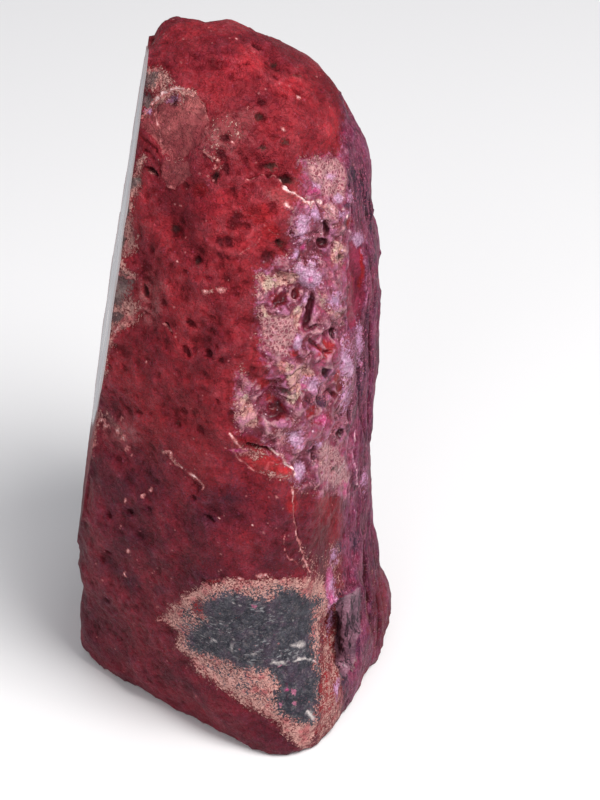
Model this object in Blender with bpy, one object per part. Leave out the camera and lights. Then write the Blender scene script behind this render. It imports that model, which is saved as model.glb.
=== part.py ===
"""A dyed agate nodule: a rough red rind, a sawn base that it stands on, and one sawn and polished face.

Bearings are degrees round the stone's axis, 0 towards +X and 90 towards +Y. Heights are above the
base. The polished face looks towards -Y, turned a little towards +X, and leans back. Lengths are in
millimetres, and become metres where the mesh is made.
"""

import bmesh
import bpy
import numpy as np
from mathutils import Vector, noise

MM = 0.001

# The whole stone
HEIGHT = 119.0
BURIED = 20.0  # what the saw took off below the base
GRID = 7  # subdivisions of the sphere that the stone is shaped from
TRIANGLES = 11400  # of the rough stone, before it is sawn
LARGEST_SLIVER = 0.02

# Its flanks: a bearing, and how far the flank stands from the axis at each station
STATIONS = (0, 7, 18, 30, 55, 78, 95, 107, 114, 119)
AXIS_X = (-3, -3, -3, -3, -3, -3, -3.5, -4, -5, -6)
AXIS_Y = (0, 0, 0, 0, 0, 0, -1.5, -4, -6.5, -8)
FLANKS = (
    (-34, (20.1, 22.4, 23.9, 24.5, 24, 21.6, 17.9, 14.2, 9.2, 0)),
    (-2, (32, 31, 29.6, 29, 27.9, 25.4, 21.4, 17, 11, 0)),
    (33, (31.9, 32.7, 31, 29, 27.2, 25.3, 21.8, 17.3, 11.2, 0)),
    (70, (23.6, 24.5, 22.8, 22.0, 22.2, 22.6, 22.2, 19.8, 13.2, 0)),
    (118, (25.8, 26.8, 23.8, 22.4, 22.4, 23.1, 22.8, 20.5, 14, 0)),
    (175, (29, 32, 34, 35, 34, 29, 23.5, 17, 11, 0)),
    (222, (31, 34, 36, 36, 34, 28, 22, 16, 10, 0)),
    (270, (28.4, 28.5, 27.2, 26.2, 25.2, 23.5, 19, 13, 7.5, 0)),
)
CORNER = 12.0  # how sharply the flanks meet

# The polished face
FACE_LEAN = 9.4
FACE_TURN = 5.0  # from -Y towards +X
FACE_DISTANCE = 23.9  # from the axis, at FACE_HEIGHT
FACE_HEIGHT = 45.0

# Scars where a flake came away: bearing, height, half width, half height, turn, depth, wall
SCARS = (
    (-8, 109.4, 5.0, 6.3, 0, 0.9, 0.22),  # the round one near the top
    (14, 59.6, 5.6, 2.6, -24, 1.5, 0.45),  # the leaf-shaped one
    (64, 81.5, 1.7, 9.5, 4, 1.5, 0.3),  # the long smooth lens
    (10, 24, 11, 9, 20, 0.5, 0.2),  # the undyed patch
    (150, 72, 9, 13, 12, 1.6, 0.2),
    (196, 38, 12, 8, -15, 1.4, 0.25),
    (240, 98, 7, 5, 30, 1.2, 0.3),
    (120, 30, 6, 9, -8, 1.3, 0.3),
)

# Hollows, round-bottomed: bearing, height, half width, half height, turn, depth
HOLLOWS = (
    (34, 104.6, 5.0, 2.8, -20, 2.0),
    (43, 110, 1.8, 1.4, 0, 1.0),
    (36, 107.2, 2.2, 1.5, 0, 1.0),
    (81, 114, 2.4, 1.6, 0, 1.0),
    (7, 105.3, 2.4, 1.7, 25, 1.6),
    (-30, 102.6, 2.0, 2.4, 0, 1.0),
    (-20, 94.8, 4.2, 3.6, 0, 1.7),
    (-3, 99.5, 4.5, 3.5, 0, 0.9),
    (9, 96.5, 4.6, 3.8, 0, 1.1),
    (12, 101.8, 3.5, 2.4, 0, 0.8),
    (-6, 92, 2.0, 1.6, 0, 1.3),
    (-20, 87.5, 2.2, 2.2, 0, 1.0),
    (-35, 83.4, 1.6, 3.6, 10, 1.5),
    (-20, 79.7, 1.5, 2.8, 35, 1.3),
    (-9, 77.8, 4.5, 2.2, 6, 1.3),
    (7, 87.5, 4.0, 3.0, 0, 0.9),
    (22, 93, 4.0, 3.0, -10, 1.3),
    (26, 87.6, 2.4, 2.6, 0, 1.6),
    (33, 87, 1.9, 2.4, 10, 1.5),
    (46, 93, 2.7, 5.0, 8, 2.4),
    (46, 77.5, 3.2, 3.6, 0, 2.0),
    (39, 69, 2.6, 4.8, 0, 2.0),
    (17, 70.2, 3.4, 3.8, 20, 1.5),
    (50, 57.5, 2.8, 3.6, 0, 1.8),
    (33, 57.5, 2.4, 4.2, 0, 1.5),
    (60, 98, 3.4, 3.0, 0, 1.0),
    (66, 66, 2.6, 4.0, 0, 1.2),
    (-16, 64, 2.4, 1.4, 0, 0.9),
    (-9, 52.5, 2.2, 1.6, 0, 1.0),
    (-4, 49.4, 2.6, 1.8, 0, 1.2),
    (-51, 39.8, 2.0, 1.8, 0, 1.2),
    (-40, 42.4, 1.7, 1.6, 0, 1.1),
    (-30, 45, 1.8, 1.6, 0, 1.1),
    (-52, 31.2, 2.2, 2.0, 0, 1.2),
    (-56, 20.5, 1.8, 1.6, 0, 1.0),
    (102, 88, 5.0, 4.0, 0, 1.6),
    (128, 52, 4.0, 6.5, 10, 1.8),
    (160, 100, 4.5, 3.5, -20, 1.5),
    (178, 58, 6.0, 4.5, 15, 2.0),
    (208, 76, 5.0, 6.0, 0, 1.7),
    (228, 58, 4.0, 5.5, -12, 1.6),
    (172, 18, 6.5, 4.0, 0, 1.5),
    (222, 20, 4.5, 5.0, 25, 1.5),
)
SMALL_HOLLOWS = 70  # scattered over the rind
SMALL_HOLLOW_SIZE = (1.3, 2.4)
SMALL_HOLLOW_DEPTH = (0.4, 1.0)
SCATTER_SEED = 11

# Chips broken from the polished face's rim and the flank below it: bearing, height, half size, depth
CHIPS = (
    (-30, 112.5, 3.2, 1.1),
    (-49, 99.5, 3.4, 1.3),
    (-55, 90, 4.0, 1.6),
    (-54, 78.5, 3.6, 1.5),
    (-56, 68, 3.0, 1.2),
    (-57, 57, 3.4, 1.2),
    (-66, 42, 4.0, 1.2),
    (-88, 27, 4.5, 1.4),
    (-140, 47, 4.2, 1.6),
    (-141, 66, 3.2, 1.3),
    (-137, 88, 4.4, 1.7),
    (-112, 108, 3.0, 1.2),
)

# Ledges: the stone below the route stands proud and slopes back over the fade
LEDGES = (
    (((14, 105.2), (22, 104.6), (28, 103.1), (32, 101.8), (38, 100.1), (48, 97.6)), 1.7, 7.0),
    (((4, 65.6), (10, 63.2), (17, 61.6), (21, 59.8), (25, 56)), 1.2, 4.0),
    (((38, 27), (48, 26), (58, 24.5), (66, 22.5)), 1.8, 5.0),
    (((-30, 56.8), (-20, 57.2), (-10, 58.6), (0, 60.4), (6, 58)), 0.6, 9.0),
    (((140, 92), (152, 95), (166, 91), (176, 84)), 1.5, 8.0),
    (((190, 50), (204, 53), (216, 49), (230, 46)), 1.4, 8.0),
    (((110, 70), (120, 66), (130, 67)), 1.2, 6.0),
)

# Crevices: route, half width, depth
CREVICES = (
    (((4, 66.1), (7, 64.7), (10, 63.4), (13, 62.7), (17, 62)), 1.4, 2.2),
    (((36, 86.3), (34, 83.5), (30, 80.8)), 1.3, 2.2),
    (((72, 96), (67, 89), (69, 80), (66, 72)), 1.3, 1.2),
    (((68, 57), (63, 52), (66, 46), (73, 40), (75, 33)), 1.4, 1.5),
    (((165, 78), (172, 66), (169, 52), (178, 40)), 1.5, 1.7),
    (((215, 92), (220, 80), (214, 70)), 1.4, 1.5),
)

# The cavity in the lower right corner and the fluted column and foot beside it
CAVITY = (50, 16.2, 3.4, 8.6, 6, 5.2, 0.5)
COLUMN = (66, 17, 2.0, 14.0, 3, -1.6, 1.0)
GROOVE = (77, 15, 2.2, 12.5, 4, 2.0, 1.0)

# The flutes of the right and back flanks
FLUTED = (58, 140)  # bearings
FLUTE_EDGE = 12
FLUTE_TOP = 104
FLUTE_WIDTH = 4.2
FLUTE_LENGTH = 40.0
FLUTE_DEPTH = 0.8

# The broken ridge between the two near flanks
BAND = ((24, 97), (27, 84), (27, 72), (31, 55))
BAND_HALF_WIDTH = 9.0
BAND_ROUGHNESS = 1.3

# The smoother flank: the bearings that it lies between, and the share that is taken off its relief
CALM_FLANK = (60, 130)
CALM_EDGE = 14
CALM_SHARE = 0.6

# The rind's own unevenness: size across, height
SWELLS = (26.0, 1.5)
LUMPS = (9.0, 0.9)
GRAIN = (4.0, 0.35)
SCOOP_SIZE = 8.5
SCOOP_DEPTH = 1.0

# Finishes: colour, roughness
RIND = ((0.36, 0.02, 0.035), 0.42)
POLISHED = ((0.34, 0.35, 0.38), 0.08)
SAWN = ((0.21, 0.06, 0.07), 0.6)


def smooth_through(places, values, wanted):
    """A curve through the values that never swings past them."""
    places = np.asarray(places, float)
    values = np.asarray(values, float)
    steps = np.diff(places)
    slopes = np.diff(values) / steps
    at_points = np.zeros_like(values)
    at_points[0] = slopes[0]
    at_points[-1] = slopes[-1]
    for i in range(1, len(values) - 1):
        if slopes[i - 1] * slopes[i] > 0:
            before = 2 * steps[i] + steps[i - 1]
            after = steps[i] + 2 * steps[i - 1]
            at_points[i] = (before + after) / (before / slopes[i - 1] + after / slopes[i])
    wanted = np.clip(wanted, places[0], places[-1])
    i = np.clip(np.searchsorted(places, wanted, side="right") - 1, 0, len(places) - 2)
    t = (wanted - places[i]) / steps[i]
    start = (1 + 2 * t) * (1 - t) ** 2 * values[i] + t * (1 - t) ** 2 * steps[i] * at_points[i]
    end = t * t * (3 - 2 * t) * values[i + 1] + t * t * (t - 1) * steps[i] * at_points[i + 1]
    return start + end


def smooth_step(x):
    x = np.clip(x, 0, 1)
    return x * x * (3 - 2 * x)


def dome_depth(height):
    """0 at the apex and 1 at the base. A dome widens evenly with it."""
    return np.sqrt(np.maximum(1 - np.asarray(height, float) / HEIGHT, 0))


def from_apex(values, height):
    stations = dome_depth(STATIONS)[::-1]
    return smooth_through(stations, values[::-1], dome_depth(height))


def on_stone(bearing, height):
    """Points of the smooth stone. Below the base it closes to a round end."""
    bearing = np.radians(np.asarray(bearing, float))
    height = np.asarray(height, float)
    meeting = 0
    for flank, offsets in FLANKS:
        facing = np.cos(bearing - np.radians(flank))
        offset = np.maximum(from_apex(offsets, height), 1e-3)
        meeting = meeting + np.maximum(facing / offset, 0) ** CORNER
    closing = np.sqrt(1 - np.clip(-height / BURIED, 0, 1) ** 2)
    radius = meeting ** (-1 / CORNER) * closing
    x = from_apex(AXIS_X, height) + radius * np.cos(bearing)
    y = from_apex(AXIS_Y, height) + radius * np.sin(bearing)
    return np.stack([x, y, height], axis=-1)


def unit(vector):
    return vector / np.linalg.norm(vector)


class Spot:
    """A place on the smooth stone, with its right, up and outward directions."""

    def __init__(self, bearing, height):
        self.place = on_stone(bearing, height)
        right = unit(on_stone(bearing + 1, height) - self.place)
        up = on_stone(bearing, height + 0.4) - self.place
        self.out = unit(np.cross(right, up))
        self.right = right
        self.up = np.cross(self.out, right)

    def across(self, points, half_width, half_height, turn):
        """How far each point is from the spot, 1 on the oval's edge."""
        away = points - self.place
        turn = np.radians(turn)
        level = away @ self.right
        rise = away @ self.up
        u = (level * np.cos(turn) + rise * np.sin(turn)) / half_width
        v = (rise * np.cos(turn) - level * np.sin(turn)) / half_height
        reach = max(half_width, half_height)
        return np.where(np.abs(away @ self.out) < reach, np.hypot(u, v), np.inf)


def scar(points, bearing, height, half_width, half_height, turn, depth, wall):
    """A flat-bottomed hollow. The wall is its sloping share of the half width."""
    distance = Spot(bearing, height).across(points, half_width, half_height, turn)
    return -depth * smooth_step((1 - distance) / wall)


def hollow(points, bearing, height, half_width, half_height, turn, depth):
    return scar(points, bearing, height, half_width, half_height, turn, depth, 0.9)


def route_distance(points, route):
    """Each point's distance from the route, and the side of it that the point is on."""
    bends = [on_stone(bearing, height) for bearing, height in route]
    nearest = np.full(len(points), np.inf)
    below = np.zeros(len(points))
    for start, end, (bearing, height) in zip(bends, bends[1:], route):
        along = end - start
        away = points - start
        share = np.clip(away @ along / (along @ along), 0, 1)
        offset = away - share[:, None] * along
        distance = np.linalg.norm(offset, axis=1)
        closer = distance < nearest
        downhill = -np.cross(Spot(bearing, height).out, unit(along))
        nearest = np.where(closer, distance, nearest)
        below = np.where(closer, offset @ downhill, below)
    return nearest, below


def crevice(points, route, half_width, depth):
    nearest, _ = route_distance(points, route)
    return -depth * np.clip(1 - nearest / half_width, 0, 1)


def ledge(points, route, lift, fade):
    """The stone below the route stands proud by the lift, falling away over the fade."""
    nearest, below = route_distance(points, route)
    falling = np.clip(1 - nearest / fade, 0, 1) ** 1.5
    under = smooth_step(below / 0.8)
    beside = smooth_step((below + 0.2) / np.maximum(nearest, 0.8) * 1.6)
    return lift * falling * under * beside


def noise_at(points, size, offset):
    """Smooth noise from -1 to 1, with features of the given size."""
    shift = Vector(offset)
    return np.array([noise.noise(Vector(point) / size + shift) for point in points])


def scoops(points, size, offset):
    """Shallow cells like thumb marks: 1 in their middles and 0 on the ridges between them."""
    shift = Vector(offset)
    gaps = []
    for point in points:
        near = noise.voronoi(Vector(point) / size + shift)[0]
        gaps.append(near[1] - near[0])
    return smooth_step(np.array(gaps) / 0.55)


def between(bearings, limits, edge):
    """1 between the two bearings, falling to 0 over the edge."""
    start, end = limits
    return smooth_step((bearings - start) / edge) * smooth_step((end - bearings) / edge)


def flutes(points, bearings):
    """Upright grooves on the right and back flanks."""
    inside = between(bearings, FLUTED, FLUTE_EDGE) * smooth_step((FLUTE_TOP - points[:, 2]) / 18)
    girth = np.radians(bearings) * 25.0
    stretched = np.stack([girth / FLUTE_WIDTH, points[:, 2] / FLUTE_LENGTH, 0 * girth], axis=1)
    ridges = 1 - np.abs(noise_at(stretched, 1.0, (3.0, 8.0, 1.0))) * 3
    return -FLUTE_DEPTH * inside * np.clip(ridges, 0, 1)


def scattered_hollows(points):
    """Small pits all over the rind, more of them on the sides away from +X."""
    chance = np.random.default_rng(SCATTER_SEED)
    total = np.zeros(len(points))
    for _ in range(SMALL_HOLLOWS):
        bearing = chance.uniform(-75, 285)
        height = HEIGHT * (1 - chance.uniform(0.25, 1) ** 2)
        width = chance.uniform(*SMALL_HOLLOW_SIZE)
        tall = chance.uniform(*SMALL_HOLLOW_SIZE)
        depth = chance.uniform(*SMALL_HOLLOW_DEPTH)
        total += hollow(points, bearing, height, width, tall, chance.uniform(0, 90), depth)
    return total


def relief(points):
    """How far the rind stands out from the smooth stone, or in, at each point."""
    axis_x = from_apex(AXIS_X, points[:, 2])
    axis_y = from_apex(AXIS_Y, points[:, 2])
    bearings = np.degrees(np.arctan2(points[:, 1] - axis_y, points[:, 0] - axis_x))
    calm = between(bearings, CALM_FLANK, CALM_EDGE)
    rough = 1 - CALM_SHARE * calm
    out = SWELLS[1] * noise_at(points, SWELLS[0], (0, 0, 0)) * rough
    out += LUMPS[1] * noise_at(points, LUMPS[0], (5, 1, 2)) * rough
    out += GRAIN[1] * noise_at(points, GRAIN[0], (2, 7, 3))
    upper = 0.35 + 0.65 * smooth_step((points[:, 2] - 40) / 30)
    out -= SCOOP_DEPTH * upper * scoops(points, SCOOP_SIZE, (1, 2, 3)) * rough
    from_band, _ = route_distance(points, BAND)
    in_band = smooth_step(1.3 - from_band / BAND_HALF_WIDTH)
    out += BAND_ROUGHNESS * in_band * (0.5 - np.abs(noise_at(points, 5.0, (9, 4, 6))) * 2.4)
    out += flutes(points, bearings)
    out += scattered_hollows(points)
    for values in SCARS + (CAVITY, COLUMN, GROOVE):
        out += scar(points, *values)
    for values in HOLLOWS:
        out += hollow(points, *values)
    for bearing, height, size, depth in CHIPS:
        out += scar(points, bearing, height, size, size * 1.2, 0, depth, 0.5)
    for values in LEDGES:
        out += ledge(points, *values)
    for values in CREVICES:
        out += crevice(points, *values)
    return out


def shaped_sphere():
    """A sphere drawn out to the smooth stone, as a mesh in metres."""
    sphere = bmesh.new()
    bmesh.ops.create_icosphere(sphere, subdivisions=GRID, radius=1.0)
    mesh = bpy.data.meshes.new("agate")
    sphere.to_mesh(mesh)
    sphere.free()
    ball = np.empty(len(mesh.vertices) * 3)
    mesh.vertices.foreach_get("co", ball)
    ball = ball.reshape(-1, 3)
    bearings = np.degrees(np.arctan2(ball[:, 1], ball[:, 0]))
    heights = HEIGHT - (HEIGHT + BURIED) * (1 - ball[:, 2]) / 2
    set_points(mesh, on_stone(bearings, heights))
    return mesh


def set_points(mesh, points):
    mesh.vertices.foreach_set("co", (points * MM).ravel())
    mesh.update()


def get_points(mesh):
    points = np.empty(len(mesh.vertices) * 3)
    mesh.vertices.foreach_get("co", points)
    return points.reshape(-1, 3) / MM


def roughen(mesh):
    """Moves each point of the smooth stone along its normal by the relief."""
    points = get_points(mesh)
    normals = np.empty(len(mesh.vertices) * 3)
    mesh.vertices.foreach_get("normal", normals)
    set_points(mesh, points + relief(points)[:, None] * normals.reshape(-1, 3))


def thin_out(stone):
    """Keeps the triangles where the surface turns most."""
    decimate = stone.modifiers.new("facets", "DECIMATE")
    decimate.ratio = TRIANGLES / len(stone.data.polygons)
    bpy.context.view_layer.objects.active = stone
    stone.select_set(True)
    bpy.ops.object.modifier_apply(modifier=decimate.name)


def face_plane():
    """A point of the polished face, and the direction that the face looks in."""
    lean = np.radians(FACE_LEAN)
    turn = np.radians(FACE_TURN)
    looks = Vector((np.cos(lean) * np.sin(turn), -np.cos(lean) * np.cos(turn), np.sin(lean)))
    on_face = Vector((0, -FACE_DISTANCE, FACE_HEIGHT))
    return on_face * MM, looks


def drop_crumbs(mesh):
    """Keeps the largest body, and lets go of any chip that the saw parted from it."""
    waiting = set(mesh.verts)
    bodies = []
    while waiting:
        front = [waiting.pop()]
        body = set(front)
        while front:
            here = front.pop()
            reached = {edge.other_vert(here) for edge in here.link_edges} - body
            body |= reached
            front.extend(reached)
        waiting -= body
        bodies.append(body)
    bodies.sort(key=len)
    for crumb in bodies[:-1]:
        bmesh.ops.delete(mesh, geom=list(crumb), context="VERTS")


def saw(stone, through, looks, finish):
    """Cuts away what lies beyond the plane, and closes the cut with one flat face."""
    mesh = bmesh.new()
    mesh.from_mesh(stone.data)
    everything = mesh.verts[:] + mesh.edges[:] + mesh.faces[:]
    cut = bmesh.ops.bisect_plane(
        mesh,
        geom=everything,
        plane_co=through,
        plane_no=looks,
        clear_outer=True,
        dist=LARGEST_SLIVER * MM,
    )
    rim = [item for item in cut["geom_cut"] if isinstance(item, bmesh.types.BMEdge)]
    flat = bmesh.ops.edgeloop_fill(mesh, edges=rim)["faces"]
    for face in flat:
        face.material_index = finish
    bmesh.ops.triangulate(mesh, faces=flat)
    drop_crumbs(mesh)
    bmesh.ops.recalc_face_normals(mesh, faces=mesh.faces[:])
    mesh.to_mesh(stone.data)
    mesh.free()


def stand_on_origin(mesh):
    """Puts the middle of the stone's box over the origin, with the base at height 0."""
    points = get_points(mesh)
    low = points.min(axis=0)
    high = points.max(axis=0)
    middle = (low + high) / 2
    set_points(mesh, points - np.array([middle[0], middle[1], low[2]]))


def finish(name, colour, roughness):
    material = bpy.data.materials.new(name)
    material.use_nodes = True
    surface = material.node_tree.nodes["Principled BSDF"]
    surface.inputs["Base Color"].default_value = (*colour, 1.0)
    surface.inputs["Roughness"].default_value = roughness
    surface.inputs["Metallic"].default_value = 0.0
    return material


def make_agate():
    mesh = shaped_sphere()
    roughen(mesh)
    stone = bpy.data.objects.new("agate", mesh)
    bpy.context.scene.collection.objects.link(stone)
    mesh.materials.append(finish("dyed_rind", *RIND))
    mesh.materials.append(finish("polished_face", *POLISHED))
    mesh.materials.append(finish("sawn_base", *SAWN))
    thin_out(stone)
    on_face, looks = face_plane()
    saw(stone, on_face, looks, 1)
    saw(stone, Vector((0, 0, 0)), Vector((0, 0, -1)), 2)
    stand_on_origin(mesh)
    return stone


for old in list(bpy.data.objects):
    bpy.data.objects.remove(old)
make_agate()
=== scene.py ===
"""The looks of a dyed agate nodule: rough crimson rind, pale crust, an undyed patch and a banded face.

Lengths are millimetres unless a name says otherwise, and the mesh is in metres. A place on the near
side is a pixel of the 600 x 800 frame that VIEW gives, and sizes beside it in a mask's list are pixels
too. A place on the hidden sides is a bearing and a height: bearing 0 is +X and 90 is +Y.
"""

import math

import bmesh
import bpy
import numpy as np
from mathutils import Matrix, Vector, noise
from mathutils.bvhtree import BVHTree


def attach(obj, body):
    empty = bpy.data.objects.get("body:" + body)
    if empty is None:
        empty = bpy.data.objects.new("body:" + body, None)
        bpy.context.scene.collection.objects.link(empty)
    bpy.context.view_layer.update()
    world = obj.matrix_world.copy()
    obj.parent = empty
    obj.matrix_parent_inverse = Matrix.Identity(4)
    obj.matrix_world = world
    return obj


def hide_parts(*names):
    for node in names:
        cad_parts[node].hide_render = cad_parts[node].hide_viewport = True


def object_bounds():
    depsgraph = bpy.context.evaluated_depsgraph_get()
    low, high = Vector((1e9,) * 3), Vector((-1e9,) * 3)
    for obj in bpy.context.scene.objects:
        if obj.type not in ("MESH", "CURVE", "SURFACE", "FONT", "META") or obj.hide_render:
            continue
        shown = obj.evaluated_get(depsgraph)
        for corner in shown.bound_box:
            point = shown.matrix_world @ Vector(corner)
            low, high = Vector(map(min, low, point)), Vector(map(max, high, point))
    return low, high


MM = 0.001

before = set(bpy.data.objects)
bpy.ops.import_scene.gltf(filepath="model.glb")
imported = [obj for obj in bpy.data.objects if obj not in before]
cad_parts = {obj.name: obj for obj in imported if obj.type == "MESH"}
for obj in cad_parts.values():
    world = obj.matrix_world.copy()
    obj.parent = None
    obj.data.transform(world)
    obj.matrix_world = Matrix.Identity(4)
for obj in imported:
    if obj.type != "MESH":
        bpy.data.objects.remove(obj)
cad_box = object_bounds()
NOISE_SEED = 7
noise.seed_set(NOISE_SEED)  # noise_vector reads at places drawn from this seed

# ---------------------------------------------------------------- the view
FRAME_WIDTH = 600
FRAME_HEIGHT = 800
LENS = 120.0
SENSOR = 36.0
VIEW = {"azimuth": 94.0, "elevation": 35.0, "distance": 430.0, "aim": (6.48, 11.68, 55.02)}


def view_axes():
    """The camera's place, and its right, up and backward directions, in millimetres."""
    azimuth = math.radians(VIEW["azimuth"])
    elevation = math.radians(VIEW["elevation"])
    back = Vector(
        (
            math.sin(azimuth) * math.cos(elevation),
            -math.cos(azimuth) * math.cos(elevation),
            math.sin(elevation),
        )
    )
    place = Vector(VIEW["aim"]) + back * VIEW["distance"]
    right = Vector((0, 0, 1)).cross(back).normalized()
    return place, right, back.cross(right), back


def add_camera():
    place, _, _, back = view_axes()
    data = bpy.data.cameras.new("camera")
    data.lens = LENS
    data.sensor_fit = "VERTICAL"
    data.sensor_height = SENSOR
    data.clip_start = 0.01
    camera = bpy.data.objects.new("camera", data)
    camera.location = place * MM
    camera.rotation_euler = back.to_track_quat("Z", "Y").to_euler()
    bpy.context.scene.collection.objects.link(camera)
    bpy.context.scene.camera = camera


def pixels_of(points):
    """Where points, in millimetres, fall in the frame."""
    place, right, up, back = (np.array(v) for v in view_axes())
    away = points - place
    far = -(away @ back)
    scale = LENS / SENSOR * FRAME_HEIGHT / far
    across = FRAME_WIDTH / 2 + scale * (away @ right)
    down = FRAME_HEIGHT / 2 - scale * (away @ up)
    return np.stack([across, down], axis=1)


def ray_through(pixel):
    place, right, up, back = view_axes()
    scale = LENS / SENSOR * FRAME_HEIGHT
    across = (pixel[0] - FRAME_WIDTH / 2) / scale
    down = (pixel[1] - FRAME_HEIGHT / 2) / scale
    return place, (right * across - up * down - back).normalized()


# ---------------------------------------------------------------- the stone's mesh
VOXEL = 0.97
ROUNDING_STEPS = 7
SMOOTHING_STEPS = 2
SNAP = 0.32  # points this near a sawn plane lie on it
SAME_POINT = 1e-6  # metres
SHARP_ANGLE = 52.0
FACE_LEAN = math.radians(9.4)
FACE_TURN = math.radians(5.0)
FACE_LOOKS = np.array(
    (
        math.cos(FACE_LEAN) * math.sin(FACE_TURN),
        -math.cos(FACE_LEAN) * math.cos(FACE_TURN),
        math.sin(FACE_LEAN),
    )
)
FACE_FLATNESS = 0.9995  # the cosine within which a facet is part of the face
CUT_FLATNESS = 0.98
CUT_DEPTH = 0.06
NEAR_FACING = 0.24  # the rind's mesh is halved where it looks this much towards the camera
FINE_MARGIN = 1.6  # pixels
RELIEF_REACH = 6  # mesh steps
BAND_ROUNDING = 1.6
SAME_SIDE = 20.0  # an oval marks nothing farther than this from its own plane
OUTSIDE = 100.0  # farther from the axis than the stone reaches
# The polish ends below in an arc, under which the cut is dyed like the rind: its lowest point, how
# far across the face that lies, and how fast it rises to each side
FOOT_LOW = 37.0
FOOT_MIDDLE = -11.0
FOOT_RISE = 0.030
FOOT_FADE = 4.0


def select_only(thing):
    bpy.ops.object.select_all(action="DESELECT")
    thing.select_set(True)
    bpy.context.view_layer.objects.active = thing


def apply_modifiers(thing):
    select_only(thing)
    for modifier in list(thing.modifiers):
        bpy.ops.object.modifier_apply(modifier=modifier.name)


def points_of(mesh):
    points = np.empty(len(mesh.vertices) * 3)
    mesh.vertices.foreach_get("co", points)
    return points.reshape(-1, 3) / MM


def normals_of(mesh):
    normals = np.empty(len(mesh.vertices) * 3)
    mesh.vertices.foreach_get("normal", normals)
    return normals.reshape(-1, 3)


def set_points(mesh, points):
    mesh.vertices.foreach_set("co", (points * MM).ravel())
    mesh.update()


def face_offset():
    """How far the polished face's plane lies from the origin along its own direction."""
    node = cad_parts["agate"].data
    looks = Vector(FACE_LOOKS)
    flat = [p for p in node.polygons if p.normal.dot(looks) > FACE_FLATNESS]
    largest = max(flat, key=lambda p: p.area)
    return largest.center.dot(looks) / MM


def refined_stone():
    """A copy of the solid with small even faces, its facets smoothed away and its cuts kept flat."""
    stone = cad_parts["agate"].copy()
    stone.data = stone.data.copy()
    stone.name = "agate_stone"
    stone.parent = None
    for key in list(stone.keys()):
        del stone[key]
    bpy.context.scene.collection.objects.link(stone)
    select_only(stone)
    bpy.ops.object.mode_set(mode="EDIT")
    bpy.ops.mesh.select_all(action="SELECT")
    bpy.ops.mesh.remove_doubles(threshold=SAME_POINT)
    bpy.ops.object.mode_set(mode="OBJECT")
    stone.data.materials.clear()
    remesh = stone.modifiers.new("even", "REMESH")
    remesh.mode = "VOXEL"
    remesh.voxel_size = VOXEL * MM
    apply_modifiers(stone)
    offset = face_offset()
    smooth_rind(stone, offset, ROUNDING_STEPS)
    split_faces(stone, near_faces(stone.data, offset))
    smooth_rind(stone, offset, SMOOTHING_STEPS)
    split_faces(stone, faces_by_edges(stone.data))
    return stone, offset


def on_cuts(points, offset):
    on_face = np.abs(points @ FACE_LOOKS - offset) < SNAP
    on_base = points[:, 2] < SNAP
    return on_face, on_base


def smooth_rind(stone, offset, steps):
    """Rounds the rind's facets, and lays the points of the two cuts flat."""
    points = points_of(stone.data)
    on_face, on_base = on_cuts(points, offset)
    points[on_face] -= (points[on_face] @ FACE_LOOKS - offset)[:, None] * FACE_LOOKS
    points[on_base, 2] = 0
    set_points(stone.data, points)
    rough = stone.vertex_groups.new(name="rough")
    rough.add([int(i) for i in np.flatnonzero(~(on_face | on_base))], 1.0, "REPLACE")
    smooth = stone.modifiers.new("smooth", "SMOOTH")
    smooth.factor = 0.5
    smooth.iterations = steps
    smooth.vertex_group = rough.name
    apply_modifiers(stone)
    stone.vertex_groups.clear()


def face_values(mesh, name):
    values = np.empty(len(mesh.polygons) * 3)
    mesh.polygons.foreach_get(name, values)
    return values.reshape(-1, 3)


def near_faces(mesh, offset):
    """The rind's faces that look towards the near side."""
    centres = face_values(mesh, "center") / MM
    towards = np.array(view_axes()[0]) - centres
    towards /= np.linalg.norm(towards, axis=1, keepdims=True)
    facing = (face_values(mesh, "normal") * towards).sum(axis=1)
    on_face, on_base = on_cuts(centres, offset)
    return (facing > NEAR_FACING) & ~on_face & ~on_base


def faces_by_edges(mesh):
    """The faces close to the thin pale edges, the pits and the flake, which need the smallest mesh."""
    centres = face_values(mesh, "center") / MM
    towards = np.array(view_axes()[0]) - centres
    facing = (face_values(mesh, "normal") * towards).sum(axis=1)
    pixels = pixels_of(centres)
    close = np.zeros(len(pixels), bool)
    for route, width, _ in PALE_EDGES_AND_HIGHLIGHTS:
        close |= pixel_distance(pixels, route) < width + FINE_MARGIN
    for outline in FINE_AREAS:
        close |= inside(pixels, outline) > 0
    return close & (facing > 0)


def split_faces(stone, chosen):
    """Halves the chosen faces' edges."""
    select_only(stone)
    bpy.ops.object.mode_set(mode="EDIT")
    bpy.ops.mesh.select_mode(type="FACE")
    bpy.ops.mesh.select_all(action="DESELECT")
    bpy.ops.object.mode_set(mode="OBJECT")
    stone.data.polygons.foreach_set("select", chosen)
    bpy.ops.object.mode_set(mode="EDIT")
    bpy.ops.mesh.subdivide(number_cuts=1)
    bpy.ops.mesh.select_all(action="DESELECT")
    bpy.ops.object.mode_set(mode="OBJECT")


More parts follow.
